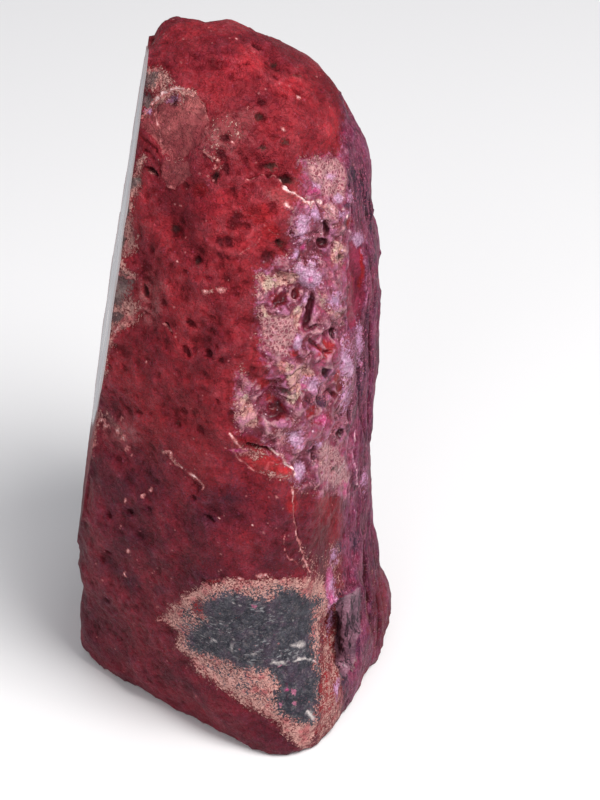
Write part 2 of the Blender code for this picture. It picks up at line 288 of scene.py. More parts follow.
# ---------------------------------------------------------------- places on the stone
class Surface:
    """The smooth stone before its fine relief: where things are put on it."""

    def __init__(self, stone, offset):
        self.points = points_of(stone.data)
        self.normals = normals_of(stone.data)
        self.pixels = pixels_of(self.points)
        place = np.array(view_axes()[0])
        towards = place - self.points
        towards /= np.linalg.norm(towards, axis=1, keepdims=True)
        self.facing = (self.normals * towards).sum(axis=1)
        self.bearings = np.degrees(np.arctan2(self.points[:, 1], self.points[:, 0]))
        self.on_face, self.on_base = on_cuts(self.points, offset)
        self.to_face = offset - self.points @ FACE_LOOKS
        self.near = smooth_step((self.facing - 0.02) / 0.1)
        self.wobble = noise_at(self.points, 0.85, (7, 1, 2))
        stray = noise_at(self.points, 2.2, (9, 4, 4)), noise_at(self.points, 2.2, (1, 8, 5))
        self.astray = warped(warped(self.points, 7.0, 9.0, (2, 2, 9)), 2.2, 3.0, (5, 9, 2))
        self.frayed = self.pixels + 3.0 * np.stack(stray, axis=1) + 1.8 * self.wobble[:, None]
        mesh = bmesh.new()
        mesh.from_mesh(stone.data)
        self.tree = BVHTree.FromBMesh(mesh)
        mesh.free()

    def hit(self, start, direction, instead):
        """The place and normal where a ray meets the stone, or those nearest to another place."""
        place, normal, _, _ = self.tree.ray_cast(start, direction)
        if place is None:
            place, normal, _, _ = self.tree.find_nearest(instead)
        return np.array(place) / MM, np.array(normal)

    def at_pixel(self, pixel):
        start, direction = ray_through(pixel)
        return self.hit(start * MM, direction, start * MM + direction * VIEW["distance"] * MM)

    def at_bearing(self, spot):
        bearing = math.radians(spot[0])
        out = Vector((math.cos(bearing), math.sin(bearing), 0))
        start = out * OUTSIDE * MM + Vector((0, 0, spot[1] * MM))
        return self.hit(start, -out, start)


def smooth_step(x):
    x = np.clip(x, 0, 1)
    return x * x * (3 - 2 * x)


def step_at(values, edge):
    """0 up to the edge's start and 1 past its span."""
    start, span = edge
    return smooth_step((values - start) / span)


def beyond(surface, edge):
    return step_at(surface.pixels[:, 0], edge)


def higher(points, edge):
    return step_at(points[:, 2], edge)


def unit(vector):
    return vector / np.linalg.norm(vector)


def noise_at(points, size, offset=(0, 0, 0)):
    shift = Vector(offset)
    return np.array([noise.noise(Vector(p) / size + shift) for p in points])


def oval_distance(points, spot, half_width, half_height, turn=0):
    """1 on the edge of an oval lying on the surface at spot = (place, normal)."""
    place, out = spot
    right = unit(np.cross((0, 0, 1), out))
    up = np.cross(out, right)
    away = points - place
    turn = math.radians(turn)
    level = away @ right
    rise = away @ up
    u = (level * math.cos(turn) + rise * math.sin(turn)) / half_width
    v = (rise * math.cos(turn) - level * math.sin(turn)) / half_height
    near = np.abs(away @ out) < min(1.5 * max(half_width, half_height), SAME_SIDE)
    return np.where(near, np.hypot(u, v), 9.0)


def route_distance(points, spots):
    """Each point's distance from the route, which side it lies on and how far along it is."""
    places, normals = zip(*spots)
    nearest = np.full(len(points), FAR)
    side = np.zeros(len(points))
    along_share = np.zeros(len(points))
    for i, (start, end) in enumerate(zip(places, places[1:])):
        along = end - start
        away = points - start
        share = np.clip(away @ along / (along @ along), 0, 1)
        offset = away - share[:, None] * along
        distance = np.linalg.norm(offset, axis=1)
        closer = distance < nearest
        downhill = -np.cross(normals[i], unit(along))
        nearest = np.where(closer, distance, nearest)
        side = np.where(closer, offset @ downhill, side)
        along_share = np.where(closer, (i + share) / (len(places) - 1), along_share)
    return nearest, side, along_share


# ---------------------------------------------------------------- features of the near side
# Pits: pixel, half width, half height, turn, depth
PITS = (
    ((214, 177), 0.75, 1.2, -15, 1.1), ((151, 171), 1.3, 0.45, -25, 0.8),
    ((264, 146), 0.8, 0.5, 0, 0.5), ((285, 142), 0.9, 0.6, 20, 0.5),
    ((247, 62), 1.0, 0.45, -25, 0.5), ((275, 64), 0.7, 0.4, 0, 0.5),
    ((298, 74), 0.9, 0.35, -10, 0.4), ((260, 118), 1.2, 0.7, -40, 0.7),
    ((250, 106), 0.6, 0.5, 0, 0.3), ((285, 178), 1.5, 0.8, -30, 1.0),
    ((270, 166), 0.9, 0.6, 0, 0.5), ((174, 229), 0.65, 0.6, 0, 0.6),
    ((174, 229), 2.0, 1.6, 0, 0.35), ((197, 260), 0.5, 0.9, -20, 0.6),
    ((279, 243), 0.6, 0.7, 0, 0.5), ((268, 256), 1.8, 0.9, 10, 0.6),
    ((145, 290), 0.45, 1.5, 15, 0.6), ((168, 328), 0.35, 1.4, 40, 0.5),
    ((186, 352), 0.8, 1.5, 45, 0.7), ((208, 354), 1.1, 0.9, 0, 0.8),
    ((178, 424), 0.8, 0.4, -10, 0.35), ((217, 401), 0.35, 0.8, 30, 0.35),
    ((245, 212), 2.0, 1.6, 20, 0.35), ((272, 208), 1.6, 1.7, 0, 0.35),
    ((222, 240), 2.2, 1.4, 10, 0.3), ((240, 245), 1.6, 1.5, 0, 0.3),
    ((200, 190), 1.7, 1.4, 0, 0.25), ((226, 262), 1.8, 1.3, 0, 0.3),
    ((231, 172), 2.2, 1.6, -20, 0.25), ((109, 515), 0.7, 0.6, 0, 0.5),
    ((130, 512), 0.7, 0.6, 0, 0.5), ((149, 509), 0.8, 0.5, 0, 0.4),
    ((209, 518), 1.3, 0.45, -25, 0.5), ((194, 499), 0.6, 0.45, 0, 0.4),
    ((109, 553), 0.9, 0.6, 0, 0.5), ((103, 560), 0.6, 0.5, 0, 0.4), ((107, 601), 0.8, 0.6, 0, 0.5),
    ((140, 535), 1.2, 0.7, 10, 0.3), ((280, 300), 1.5, 1.6, 0, 0.7), ((296, 294), 0.7, 1.1, 0, 0.7),
    ((326, 230), 0.5, 1.7, 0, 1.0), ((322, 243), 0.9, 0.8, 0, 0.8), ((332, 333), 0.8, 1.0, 0, 0.9),
    ((327, 373), 0.9, 1.2, 0, 0.9), ((320, 398), 1.1, 1.5, 0, 1.0), ((277, 411), 1.7, 1.8, 0, 0.6),
    ((284, 391), 1.7, 0.6, 0, 0.5), ((341, 434), 1.0, 1.3, 0, 0.9), ((313, 455), 0.5, 1.9, 0, 0.7),
    ((325, 465), 0.6, 1.0, 0, 0.7), ((333, 472), 0.6, 0.6, 0, 0.5), ((350, 416), 0.45, 1.7, 0, 0.6),
    ((341, 258), 0.55, 1.1, 0, 0.6), ((292, 232), 0.45, 1.0, 0, 0.5),
    ((206, 583), 1.3, 0.5, 0, 0.4), ((310, 277), 2.0, 1.9, 0, -0.6), ((283, 672), 0.8, 0.5, 0, 0.6),
    ((353, 212), 0.6, 1.2, 0, 0.7), ((350, 188), 0.6, 1.0, 0, 0.7), ((365, 200), 0.5, 1.6, 10, 0.6),
    ((352, 226), 0.6, 0.9, 0, 0.6),
)

# Ledges: route of pixels, lift, fade. The lower side stands proud.
LEDGES = (
    (((248, 180), (262, 176), (275, 175), (282, 184), (288, 191), (299, 198), (312, 204)), 0.8, 3.0),
    (((230, 435), (243, 440), (256, 443), (272, 446), (284, 456), (292, 468), (296, 478)), 0.6, 2.4),
    (((164, 452), (173, 461), (182, 470), (196, 482), (203, 488)), -0.3, 5.0),
    (((203, 152), (209, 158), (219, 161), (222, 170)), -0.35, 2.0),
    (((334, 598), (342, 594), (351, 588), (360, 584)), 0.9, 2.5),
    (((357, 433), (352, 447), (355, 473), (361, 492), (363, 517)), 0.5, 2.0),
    (((364, 250), (367, 268), (368, 290), (366, 312)), 0.4, 1.6),
    (((132, 276), (123, 272), (120, 262), (124, 246), (128, 228)), 0.45, 2.0),
    (((139, 312), (131, 326), (118, 330), (109, 338)), 0.4, 2.0),
    (((176, 189), (168, 187), (162, 180), (160, 166)), 0.4, 2.0),
    (((139, 273), (155, 274), (171, 273), (188, 272)), 0.2, 2.5),
    (((292, 168), (300, 160), (312, 156), (326, 155)), 0.3, 2.0),
)

# Cracks and crevices: route of pixels, half width, depth
CREVICES = (
    (((244, 444), (254, 447), (266, 449), (277, 452)), 0.4, 1.2),
    (((312, 290), (311, 303), (308, 318), (304, 332)), 0.35, 1.1),
    (((337, 598), (335, 622), (337, 652), (342, 688)), 0.6, 1.5),
    (((257, 668), (270, 669), (284, 670), (290, 664)), 0.3, 0.6),
    (((291, 488), (294, 510), (299, 540), (304, 562)), 0.15, 0.25),
    (((362, 360), (359, 384), (362, 408), (366, 436)), 0.4, 0.8),
    (((372, 300), (372, 350), (370, 400), (369, 450)), 0.4, 0.7),
    (((365, 520), (366, 560), (369, 600), (368, 650)), 0.45, 0.8),
    (((378, 590), (381, 620), (377, 650)), 0.4, 0.4),
    (((139, 137), (147, 142), (156, 150), (159, 160)), 0.25, 0.4),
    (((141, 148), (149, 153), (155, 162)), 0.25, 0.35),
    (((304, 332), (318, 326), (328, 334)), 0.3, 0.7),
    (((318, 402), (330, 392), (338, 398)), 0.3, 0.7),
    (((306, 338), (316, 344), (326, 352), (334, 350)), 0.3, 0.6),
)

# Scars and patches with a rim: outlines in pixels
DISC = (
    (140, 118), (148, 106), (156, 96), (170, 91), (182, 90), (194, 93), (203, 102), (209, 116),
    (209, 128), (202, 138), (194, 148), (184, 156), (171, 158), (162, 154), (155, 142), (146, 134),
    (140, 128),
)
DISC_LOBE = (
    (162, 162), (174, 159), (188, 162), (190, 174), (182, 184), (174, 189), (166, 186), (161, 176),
)
FLAKE = (
    (230, 446), (231, 436), (243, 442), (256, 447), (270, 450), (282, 457), (291, 467), (295, 477),
    (284, 479), (268, 476), (254, 470), (242, 460),
)
FLAKE_HEART = (
    (255, 458), (268, 456), (282, 461), (290, 471), (288, 477), (270, 474), (258, 468),
)
FLAKE_CRUST = (
    ((240, 445), (256, 448), (268, 453), (262, 458), (250, 460), (241, 453)),
    ((262, 472), (276, 473), (291, 474), (292, 479), (276, 480), (264, 477)),
)
LENS_SCAR = (
    (350, 244), (356, 236), (362, 244), (365, 258), (366, 280), (365, 302), (361, 320), (354, 332),
    (349, 318), (347, 290), (348, 264),
)
SLATE = (
    (209, 596), (222, 593), (237, 592), (256, 598), (272, 599), (282, 589), (294, 591), (306, 596),
    (324, 601), (313, 612), (312, 628), (313, 645), (317, 660), (317, 685), (317, 718), (303, 723),
    (283, 715), (275, 702), (279, 687), (270, 672), (255, 668), (240, 672), (226, 661), (212, 656),
    (193, 652), (186, 638), (193, 626), (205, 621), (201, 608),
)
SPARSE_SLATE = (
    (0.60, ((178, 606), (208, 598), (208, 622), (196, 640), (206, 658), (190, 654), (178, 632))),
    (0.40, ((196, 652), (240, 668), (272, 690), (284, 714), (262, 706), (230, 688), (204, 668))),
    (0.35, ((314, 602), (324, 602), (322, 660), (322, 716), (315, 720), (312, 640))),
    (0.48, ((206, 588), (240, 584), (282, 584), (280, 598), (240, 596), (208, 600))),
)
HALO = (
    (160, 620), (173, 606), (190, 592), (209, 582), (228, 579), (254, 581), (280, 579), (306, 578),
    (324, 579), (332, 592), (328, 608), (322, 622), (320, 660), (319, 700), (320, 724), (311, 747),
    (303, 751), (288, 736), (272, 720), (246, 706), (225, 691), (199, 673), (185, 653), (173, 647),
    (178, 632),
)
SALMON = (
    (322, 604), (336, 600), (337, 650), (341, 690), (341, 716), (330, 742), (316, 750), (320, 700),
)
CAVITY = (
    (336, 600), (347, 592), (358, 588), (362, 600), (361, 625), (357, 650), (350, 672), (344, 690),
    (339, 672), (336, 640),
)
RIDGE = (
    (260, 272), (292, 250), (290, 208), (304, 200), (300, 160), (346, 152), (350, 230), (349, 340),
    (352, 430), (352, 500), (330, 494), (302, 492), (286, 470), (262, 440), (236, 430), (236, 372),
    (250, 378), (262, 392), (272, 384), (260, 350), (256, 310),
)

# Pale crust: how dense its grains are, and its outline
CRUST = (
    (0.95, ((256, 277), (262, 271), (274, 273), (284, 271), (296, 269), (302, 276), (296, 283),
            (288, 286), (280, 287), (272, 291), (268, 298), (261, 290))),
    (0.95, ((261, 303), (270, 311), (280, 313), (291, 309), (300, 302), (307, 299), (305, 318),
            (299, 334), (291, 343), (290, 356), (278, 358), (269, 350), (262, 336), (258, 318))),
    (0.85, ((270, 362), (284, 359), (298, 361), (311, 364), (318, 374), (311, 388), (303, 396),
            (298, 407), (286, 408), (280, 400), (288, 389), (277, 378))),
    (0.90, ((240, 367), (246, 373), (247, 388), (253, 400), (258, 412), (263, 424), (257, 430),
            (244, 428), (237, 418), (236, 404), (240, 390))),
    (0.60, ((258, 426), (272, 425), (286, 412), (300, 404), (306, 420), (304, 450), (307, 487),
            (299, 491), (292, 474), (287, 456), (276, 445), (262, 438))),
    (0.92, ((322, 446), (330, 440), (338, 452), (346, 464), (351, 479), (342, 488), (330, 485),
            (320, 476), (317, 460))),
    (0.92, ((308, 162), (322, 158), (338, 160), (346, 172), (346, 190), (338, 198), (326, 192),
            (312, 180))),
    (0.60, ((318, 200), (340, 196), (346, 214), (346, 232), (334, 236), (322, 226))),
    (0.90, ((331, 242), (343, 236), (347, 252), (345, 268), (331, 268))),
    (0.70, ((313, 289), (330, 286), (346, 292), (349, 312), (344, 322), (330, 320), (316, 308))),
    (0.78, ((340, 338), (350, 334), (354, 356), (353, 390), (348, 418), (339, 412), (337, 380),
            (336, 356))),
    (0.90, ((143, 72), (150, 69), (160, 71), (172, 78), (172, 84), (166, 90), (155, 92), (146, 90))),
    (0.80, ((156, 97), (166, 91), (178, 91), (176, 97), (166, 101))),
    (0.30, ((216, 117), (226, 115), (236, 119), (246, 127), (243, 138), (229, 145), (218, 152),
            (206, 156), (201, 151), (208, 144), (214, 132))),
    (0.50, ((322, 556), (338, 560), (347, 580), (350, 592), (332, 594), (322, 582))),
    (0.85, ((110, 304), (120, 298), (130, 296), (139, 306), (138, 316), (130, 326), (118, 331),
            (109, 338), (106, 326))),
    (0.85, ((366, 260), (370, 276), (373, 292), (371, 308), (368, 290), (366, 275))),
    (0.50, ((300, 545), (312, 556), (322, 570), (316, 580), (304, 566))),
)
# Narrow strips of the same crust: route, half width in pixels, density
CRUST_ROUTES = (
    (((143, 158), (137, 174), (136, 184), (130, 198), (128, 214), (127, 232), (125, 246), (119, 262),
      (123, 272), (134, 276)), 4.0, 0.85),
    (((128, 228), (132, 240), (130, 252)), 4.0, 0.7),
    (((110, 336), (107, 350), (104, 362), (101, 374), (97, 386)), 3.5, 0.8),
    (((97, 410), (96, 424), (92, 440), (90, 452)), 3.5, 0.55),
    (((104, 414), (114, 424), (121, 434)), 2.5, 0.5),
    (((204, 150), (210, 157), (218, 161), (219, 168)), 2.5, 0.6),
    (((160, 160), (168, 158), (180, 159)), 2.0, 0.4),
    (((204, 291), (214, 290), (224, 288)), 2.5, 0.45),
    (((163, 452), (172, 458), (183, 470)), 2.0, 0.5),
    (((190, 476), (203, 487)), 2.0, 0.5),
    (((210, 586), (236, 583), (262, 584), (300, 582)), 4.0, 0.8),
    (((150, 104), (156, 97), (166, 92), (178, 91), (192, 94)), 4.0, 0.9),
)
GREY_CHIPS = (
    ((150, 79), 7, 8), ((146, 99), 5, 7), ((121, 285), 11, 10), ((116, 298), 7, 7),
    ((133, 182), 5, 6), ((126, 206), 3, 8), ((121, 240), 3, 9), ((115, 318), 6, 7),
    ((106, 342), 3, 7), ((356, 618), 5, 15), ((352, 660), 4, 9),
)
# Painted lilac sheen on the ridge and flank, where grains also thicken: pixel, half width, half height
LILAC_SHEEN_SPOTS = (
    ((310, 278), 12, 10), ((303, 230), 8, 16), ((298, 255), 7, 10), ((313, 262), 6, 7),
    ((297, 342), 7, 9), ((312, 384), 9, 9), ((316, 214), 9, 12), ((337, 198), 8, 7),
    ((358, 238), 7, 9), ((296, 440), 8, 12), ((299, 474), 8, 12), ((344, 214), 6, 6),
    ((366, 480), 5, 14), ((346, 360), 8, 22), ((336, 300), 10, 10), ((346, 398), 7, 18),
    ((320, 446), 6, 5), ((331, 584), 5, 18), ((336, 556), 6, 9), ((173, 100), 9, 4),
    ((318, 186), 9, 7), ((332, 178), 9, 7), ((351, 196), 4, 7), ((360, 340), 5, 40),
    ((332, 600), 4, 10), ((147, 112), 5, 5), ((305, 300), 6, 8), ((330, 620), 3, 18),
    ((337, 690), 3, 12),
)
BLUISH_SPOTS = (
    ((352, 176), 5, 7), ((361, 186), 5, 6), ((371, 222), 3, 10), ((349, 206), 4, 4),
    ((356, 192), 8, 8), ((367, 202), 5, 9), ((327, 374), 7, 9), ((320, 398), 9, 9),
    ((312, 455), 4, 11), ((326, 228), 5, 12), ((340, 434), 7, 7), ((362, 378), 4, 26),
    ((340, 548), 5, 6), ((356, 540), 6, 10), ((340, 615), 4, 16), ((343, 650), 5, 18),
    ((334, 333), 5, 5), ((340, 590), 6, 4),
)
RED_SPOTS = (
    ((280, 300), 8, 9), ((296, 294), 5, 7), ((350, 222), 4, 7), ((277, 411), 9, 10),
    ((293, 353), 15, 4), ((326, 350), 9, 9), ((318, 415), 11, 9), ((270, 398), 6, 6),
    ((263, 384), 7, 6), ((363, 272), 2, 20), ((292, 505), 6, 9), ((244, 440), 12, 3),
    ((331, 470), 6, 6), ((259, 214), 12, 10), ((272, 232), 9, 9), ((200, 190), 9, 7),
    ((199, 608), 5, 5), ((214, 582), 8, 3), ((338, 384), 3, 16), ((294, 704), 4, 3),
)
OLIVE_SPOTS = (
    ((215, 176), 3, 6), ((174, 230), 3, 3), ((197, 261), 2.2, 3.8), ((279, 243), 3, 3),
    ((285, 142), 3.8, 2.2), ((264, 147), 3.8, 2.2), ((260, 118), 4.5, 3), ((275, 64), 3, 1.5),
    ((298, 74), 4.5, 1.5), ((178, 424), 3, 1.5), ((288, 392), 6.8, 2.2), ((271, 167), 4.5, 3),
    ((341, 258), 2.2, 3), ((288, 180), 6, 3.8), ((145, 290), 1.5, 6), ((152, 172), 5.2, 1.5),
    ((337, 470), 3, 3),
)
# Pale broken edges, partly painted highlights along lit lips: route of pixels, half width (pixels),
# strength
PALE_EDGES_AND_HIGHLIGHTS = (
    (((248, 180), (262, 176), (275, 175), (282, 184)), 1.0, 0.7),
    (((284, 189), (290, 193), (299, 198), (312, 206)), 2.0, 1.1),
    (((284, 203), (292, 207)), 1.3, 0.75),
    (((311, 204), (318, 202), (326, 206)), 1.3, 0.8),
    (((344, 208), (346, 217)), 1.3, 1.0),
    (((270, 448), (282, 456), (291, 467), (295, 477)), 1.2, 1.1),
    (((230, 434), (236, 442), (243, 449)), 1.2, 0.9),
    (((230, 447), (242, 461), (255, 471), (270, 477), (290, 479)), 1.0, 0.4),
    (((163, 453), (168, 452), (173, 461), (182, 470)), 1.0, 0.8),
    (((190, 476), (197, 482), (203, 489)), 1.0, 0.9),
    (((140, 118), (148, 106), (156, 96), (170, 91), (182, 90), (194, 93)), 1.1, 0.9),
    (((194, 93), (203, 102), (209, 118), (208, 130)), 0.9, 0.5),
    (((154, 108), (158, 130), (161, 155)), 0.9, 0.5),
    (((162, 180), (168, 187), (176, 189)), 0.9, 0.45),
    (((150, 173), (156, 176), (160, 179)), 0.9, 0.45),
    (((201, 151), (209, 158), (219, 161), (213, 169)), 1.0, 0.7),
    (((291, 488), (294, 510), (299, 540), (305, 560), (312, 572)), 0.8, 0.7),
    (((286, 536), (284, 548), (290, 560), (300, 566)), 0.7, 0.5),
    (((294, 660), (304, 659), (317, 662)), 1.1, 1.1),
    (((271, 663), (279, 662), (286, 664)), 1.4, 0.8),
    (((293, 646), (300, 648)), 2.0, 0.9),
    (((311, 712), (312, 718)), 1.8, 0.9),
    (((97, 386), (103, 366), (106, 350), (112, 335), (126, 328), (134, 318)), 0.9, 0.6),
    (((123, 227), (126, 240), (128, 252)), 1.5, 0.6),
    (((116, 272), (124, 278), (134, 277)), 1.2, 0.6),
    (((165, 324), (170, 330), (176, 334)), 0.9, 0.5),
    (((355, 430), (353, 452), (356, 476), (362, 496)), 1.0, 0.8),
    (((342, 690), (340, 720), (330, 742)), 1.5, 0.4),
    (((143, 74), (147, 70), (158, 71)), 1.0, 0.6),
    (((241, 213), (262, 222), (276, 238)), 0.7, 0.35),
    (((364, 250), (367, 268), (368, 290), (366, 312)), 1.0, 0.45),
    (((236, 262), (246, 250), (256, 246), (264, 236)), 0.7, 0.35),
)
# Pale specks, partly painted glints
PALE_SPECKS_AND_GLINTS = (
    (100, 418), (104, 420), (112, 418), (118, 432), (124, 438), (126, 448), (149, 489), (142, 497),
    (125, 500), (132, 455), (108, 426), (119, 419), (180, 62), (191, 49), (237, 39), (254, 52),
    (232, 142), (204, 292), (222, 289), (219, 518), (252, 525), (276, 497), (264, 532), (153, 572),
    (126, 576), (157, 607), (207, 592), (239, 588), (266, 576), (143, 145), (186, 237), (181, 205),
    (299, 96), (283, 130), (146, 361), (248, 107), (177, 261), (272, 472), (233, 603), (240, 606),
    (231, 622), (222, 642), (245, 669), (293, 620), (234, 640), (275, 677), (251, 669),
)
# Larger flecks: pixel, half width, half height
PALE_FLECKS = (
    ((100, 419), 2.5, 1.8), ((105, 426), 1.6, 3), ((117, 430), 2, 4), ((123, 438), 3, 2.5),
    ((126, 448), 2, 1.6), ((92, 446), 5, 2), ((93, 432), 3, 1.6), ((150, 489), 2.5, 2),
    ((143, 496), 2, 1.4), ((125, 501), 1.4, 3), ((129, 551), 2.5, 2), ((120, 419), 2, 1.6),
    ((126, 575), 1.6, 1.6), ((205, 291), 4, 2), ((222, 290), 4, 3), ((300, 96), 3, 1.5),
    ((284, 128), 2, 1.5), ((221, 581), 6, 1.6), ((205, 585), 4, 1.6), ((240, 578), 5, 1.5),
    ((262, 577), 4, 1.5), ((352, 232), 2, 2), ((232, 648), 2, 4), ((214, 640), 3, 2),
    ((301, 645), 4, 4), ((255, 655), 3, 1.5), ((279, 662), 6, 2), ((311, 713), 3, 4),
)
# Strong pink glints
MAGENTA_SPOTS = (
    ((330, 574), 2.5, 6), ((329, 584), 2, 7), ((331, 597), 2, 6), ((311, 279), 3, 2.5),
    ((345, 484), 4, 2.5), ((305, 386), 2.5, 2), ((322, 418), 4, 6), ((281, 378), 3, 3),
    ((314, 192), 4, 3), ((304, 246), 3, 3), ((287, 690), 2, 2), ((238, 450), 7, 2.5),
    ((346, 492), 2.5, 2.5),
)
# Smooth lumps on the ridge, painted whitish as highlights
PEARL_HIGHLIGHTS = (
    ((310, 276), 11, 10), ((300, 269), 6, 5), ((360, 240), 5, 6), ((338, 199), 5, 5),
    ((303, 226), 5, 9), ((298, 343), 4, 6), ((312, 386), 5, 5), ((296, 440), 5, 6),
    ((348, 366), 4, 9), ((300, 470), 5, 7),
)
# A lace of pale lines round small dark cells
LACE = (
    ((309, 163), (322, 159), (338, 161), (345, 174), (345, 196), (334, 199), (322, 192), (312, 180)),
    ((260, 318), (276, 316), (292, 316), (298, 332), (291, 343), (290, 356), (278, 358), (268, 349)),
    ((318, 448), (332, 444), (346, 464), (350, 480), (336, 487), (322, 478)),
)
# Dark spots in the wine-coloured zone, most of them on pits, and warmer clouds in it
DARK_SPOTS = (
    ((108, 513), 6, 5), ((130, 512), 7, 6), ((106, 557), 7, 6), ((149, 509), 7, 4),
    ((140, 535), 9, 6), ((209, 518), 11, 4), ((194, 499), 6, 4), ((112, 418), 9, 7),
    ((107, 601), 7, 5), ((170, 530), 8, 5), ((230, 500), 9, 5), ((182, 560), 8, 5),
    ((132, 582), 7, 6), ((160, 590), 9, 5), ((92, 470), 4, 12),
)
WARM_CLOUDS = (
    ((268, 505), 32, 24), ((252, 548), 28, 20), ((290, 560), 20, 22), ((200, 560), 26, 16),
    ((140, 625), 34, 18), ((180, 500), 18, 12), ((150, 650), 26, 14), ((230, 480), 20, 12),
)
# Painted light: brighter patches high on the crimson flank, which faces the light from above
LIT_CLOUDS = (
    ((258, 212), 24, 18), ((215, 203), 16, 12), ((240, 62), 28, 14), ((288, 84), 14, 12),
    ((330, 128), 10, 16), ((252, 240), 14, 10),
)
# Where the flank to the right begins, and over how many pixels: as calm relief, violet dye with painted
# shade and sheen, and dust
CALM_FLANK = (345, 15)
VIOLET_FLANK = (328, 28)
DUSTY_FLANK = (335, 30)
# Where the hollows are deepest
ROUGH_SPOT = (232, 235)
ROUGH_REACH = 75.0
# The bulge low on the right flank, which is redder: its middle and its half width and height
RIGHT_FOOT = ((382, 605), 16, 60)
WINE_FOOT = ((382, 605), 24, 66)
# Where quartz shows as dashes in the undyed patch
QUARTZ = (
    ((222, 624), 42, 34), ((262, 616), 30, 16), ((270, 655), 46, 12), ((246, 645), 40, 18),
)
# Dusty haze on the crimson flank
HAZE = (
    ((224, 134), 22, 18), ((240, 120), 16, 8), ((150, 300), 10, 20), ((282, 196), 14, 6),
    ((120, 432), 14, 14),
)
# Small red and pink spots in the undyed patch
PATCH_PINKS = (
    ((294, 693), 3, 2), ((282, 704), 2, 3), ((294, 704), 2, 2), ((256, 607), 3, 2),
    ((279, 664), 3, 2),
)
# The darker wine-coloured zone
WINE = (
    (94, 384), (118, 388), (131, 404), (136, 440), (150, 456), (164, 452), (182, 470), (202, 488),
    (216, 480), (228, 456), (250, 473), (268, 480), (294, 480), (312, 505), (336, 530), (352, 570),
    (345, 600), (345, 770), (60, 770), (60, 384),
)
FINE_AREAS = (
    ((134, 68), (172, 72), (168, 92), (150, 108), (138, 130)),
    ((118, 190), (140, 190), (136, 270), (140, 320), (116, 338), (98, 395), (88, 395), (108, 290)),
    (
        (242, 172), (262, 166), (300, 155), (350, 155), (352, 430), (350, 488), (300, 490), (284, 448),
        (290, 410), (262, 384), (252, 300), (296, 262), (296, 215),
    ),
    ((226, 430), (290, 440), (302, 482), (270, 486), (226, 462)),
)

# ---------------------------------------------------------------- features of the hidden sides
HIDDEN_LEDGES = (
    (((140, 93), (152, 96), (166, 92), (176, 85)), 0.7, 3.5),
    (((188, 51), (204, 54), (216, 50), (232, 46)), 0.7, 3.5),
    (((95, 71), (106, 67), (117, 68)), 0.6, 2.5),
    (((122, 40), (132, 36), (146, 39)), 0.5, 2.5),
)
HIDDEN_CREVICES = (
    (((165, 78), (172, 66), (169, 52), (178, 40)), 0.5, 1.2),
    (((215, 92), (220, 80), (214, 70)), 0.45, 1.0),
    (((118, 96), (121, 80), (117, 62), (120, 44)), 0.5, 0.9),
    (((135, 74), (137, 58), (133, 42)), 0.45, 0.8),
)
# Pale crust and undyed stone: bearing, height, half width, half height, and the crust's density
HIDDEN_CRUST = (
    (110, 62, 5, 9, 0.7), (152, 88, 8, 5, 0.9), (168, 60, 5, 11, 0.8), (206, 40, 8, 5, 0.9),
    (222, 74, 5, 8, 0.8), (128, 26, 7, 6, 0.6), (186, 100, 6, 4, 0.7), (236, 30, 6, 5, 0.9),
    (190, 78, 4, 4, 0.9), (140, 48, 4, 6, 0.6), (240, 100, 4, 5, 0.8), (146, 66, 8, 12, 0.8),
    (196, 36, 13, 9, 0.85),
)
HIDDEN_SLATE = ((196, 36, 10, 6), (150, 68, 5, 8), (120, 86, 3, 8))
HIDDEN_VIOLET = ((100, 60, 16, 50), (130, 50, 16, 44), (215, 60, 8, 30))
# Painted lilac sheen on the hidden sides: bearing, height, half width, half height
HIDDEN_LILAC_SHEEN = (
    (104, 80, 3, 12), (112, 40, 3, 14), (126, 60, 3, 10), (98, 24, 4, 10), (160, 84, 6, 3),
)


# ---------------------------------------------------------------- the rind's relief
# Pits scattered at random: how many, between which pixels or bearings, and their half widths
SCATTER_SEED = 5
NEAR_PITS = 85
NEAR_PIT_SPAN = ((128, 292), (40, 440))
NEAR_PIT_SIZE = (0.4, 1.1)
HIDDEN_PITS = 90
HIDDEN_PIT_SPAN = (92, 300)
HIDDEN_PIT_SIZE = (0.6, 1.5)
HIDDEN_PIT_TOP = 116
# Where an area starts, and over how much more. A minus turns the step round
UPPER_HALF = (42, 30)  # heights
WINE_TOP = (48, -20)
RIM_CRUST_FOOT = (45, 12)
FLUTES_TOP = (106, -20)
FLUTES_FROM = (52, 12)  # bearings
FLUTES_TO = (150, -16)
FLUTE_WIDTH = 1.9
FLUTE_LENGTH = 16.0
FLUTE_DEPTH = 0.3
GIRTH_RADIUS = 25.0
BOWL_REACH = 0.62  # how far from a cell's middle its bowl's wall stands, in cells
PIT_WALL = 0.8
ROUTE_TAPER = {"ledge": (0.12, 0.2), "crevice": (0.2, 0.15)}  # share of the length, and what's left
BASE_FADE = 1.2  # the relief dies out this near the sawn base
FAR = 1e6
# How deep each scar lies (a flake's heart stands proud), and how wide its wall is in pixels
SCARS = ((DISC, 0.3, 3), (DISC_LOBE, 0.2, 3), (FLAKE_HEART, -0.35, 8), (LENS_SCAR, 0.4, 3))


def fine_relief(surface):
    """How far each point of the rind moves along its normal."""
    out = worn_relief(surface) + ridge_relief(surface) + flutes(surface)
    out += placed_relief(surface)
    near = surface.near
    for outline, depth, wall in SCARS:
        out -= near * depth * smooth_step(0.5 + inside(surface.frayed, outline) / wall)
    slate = near * smooth_step(0.5 + inside(surface.frayed, SLATE) / 8)
    out *= 1 - 0.7 * slate
    return out - slate * 0.12 * smooth_step(surface.wobble * 2.2)


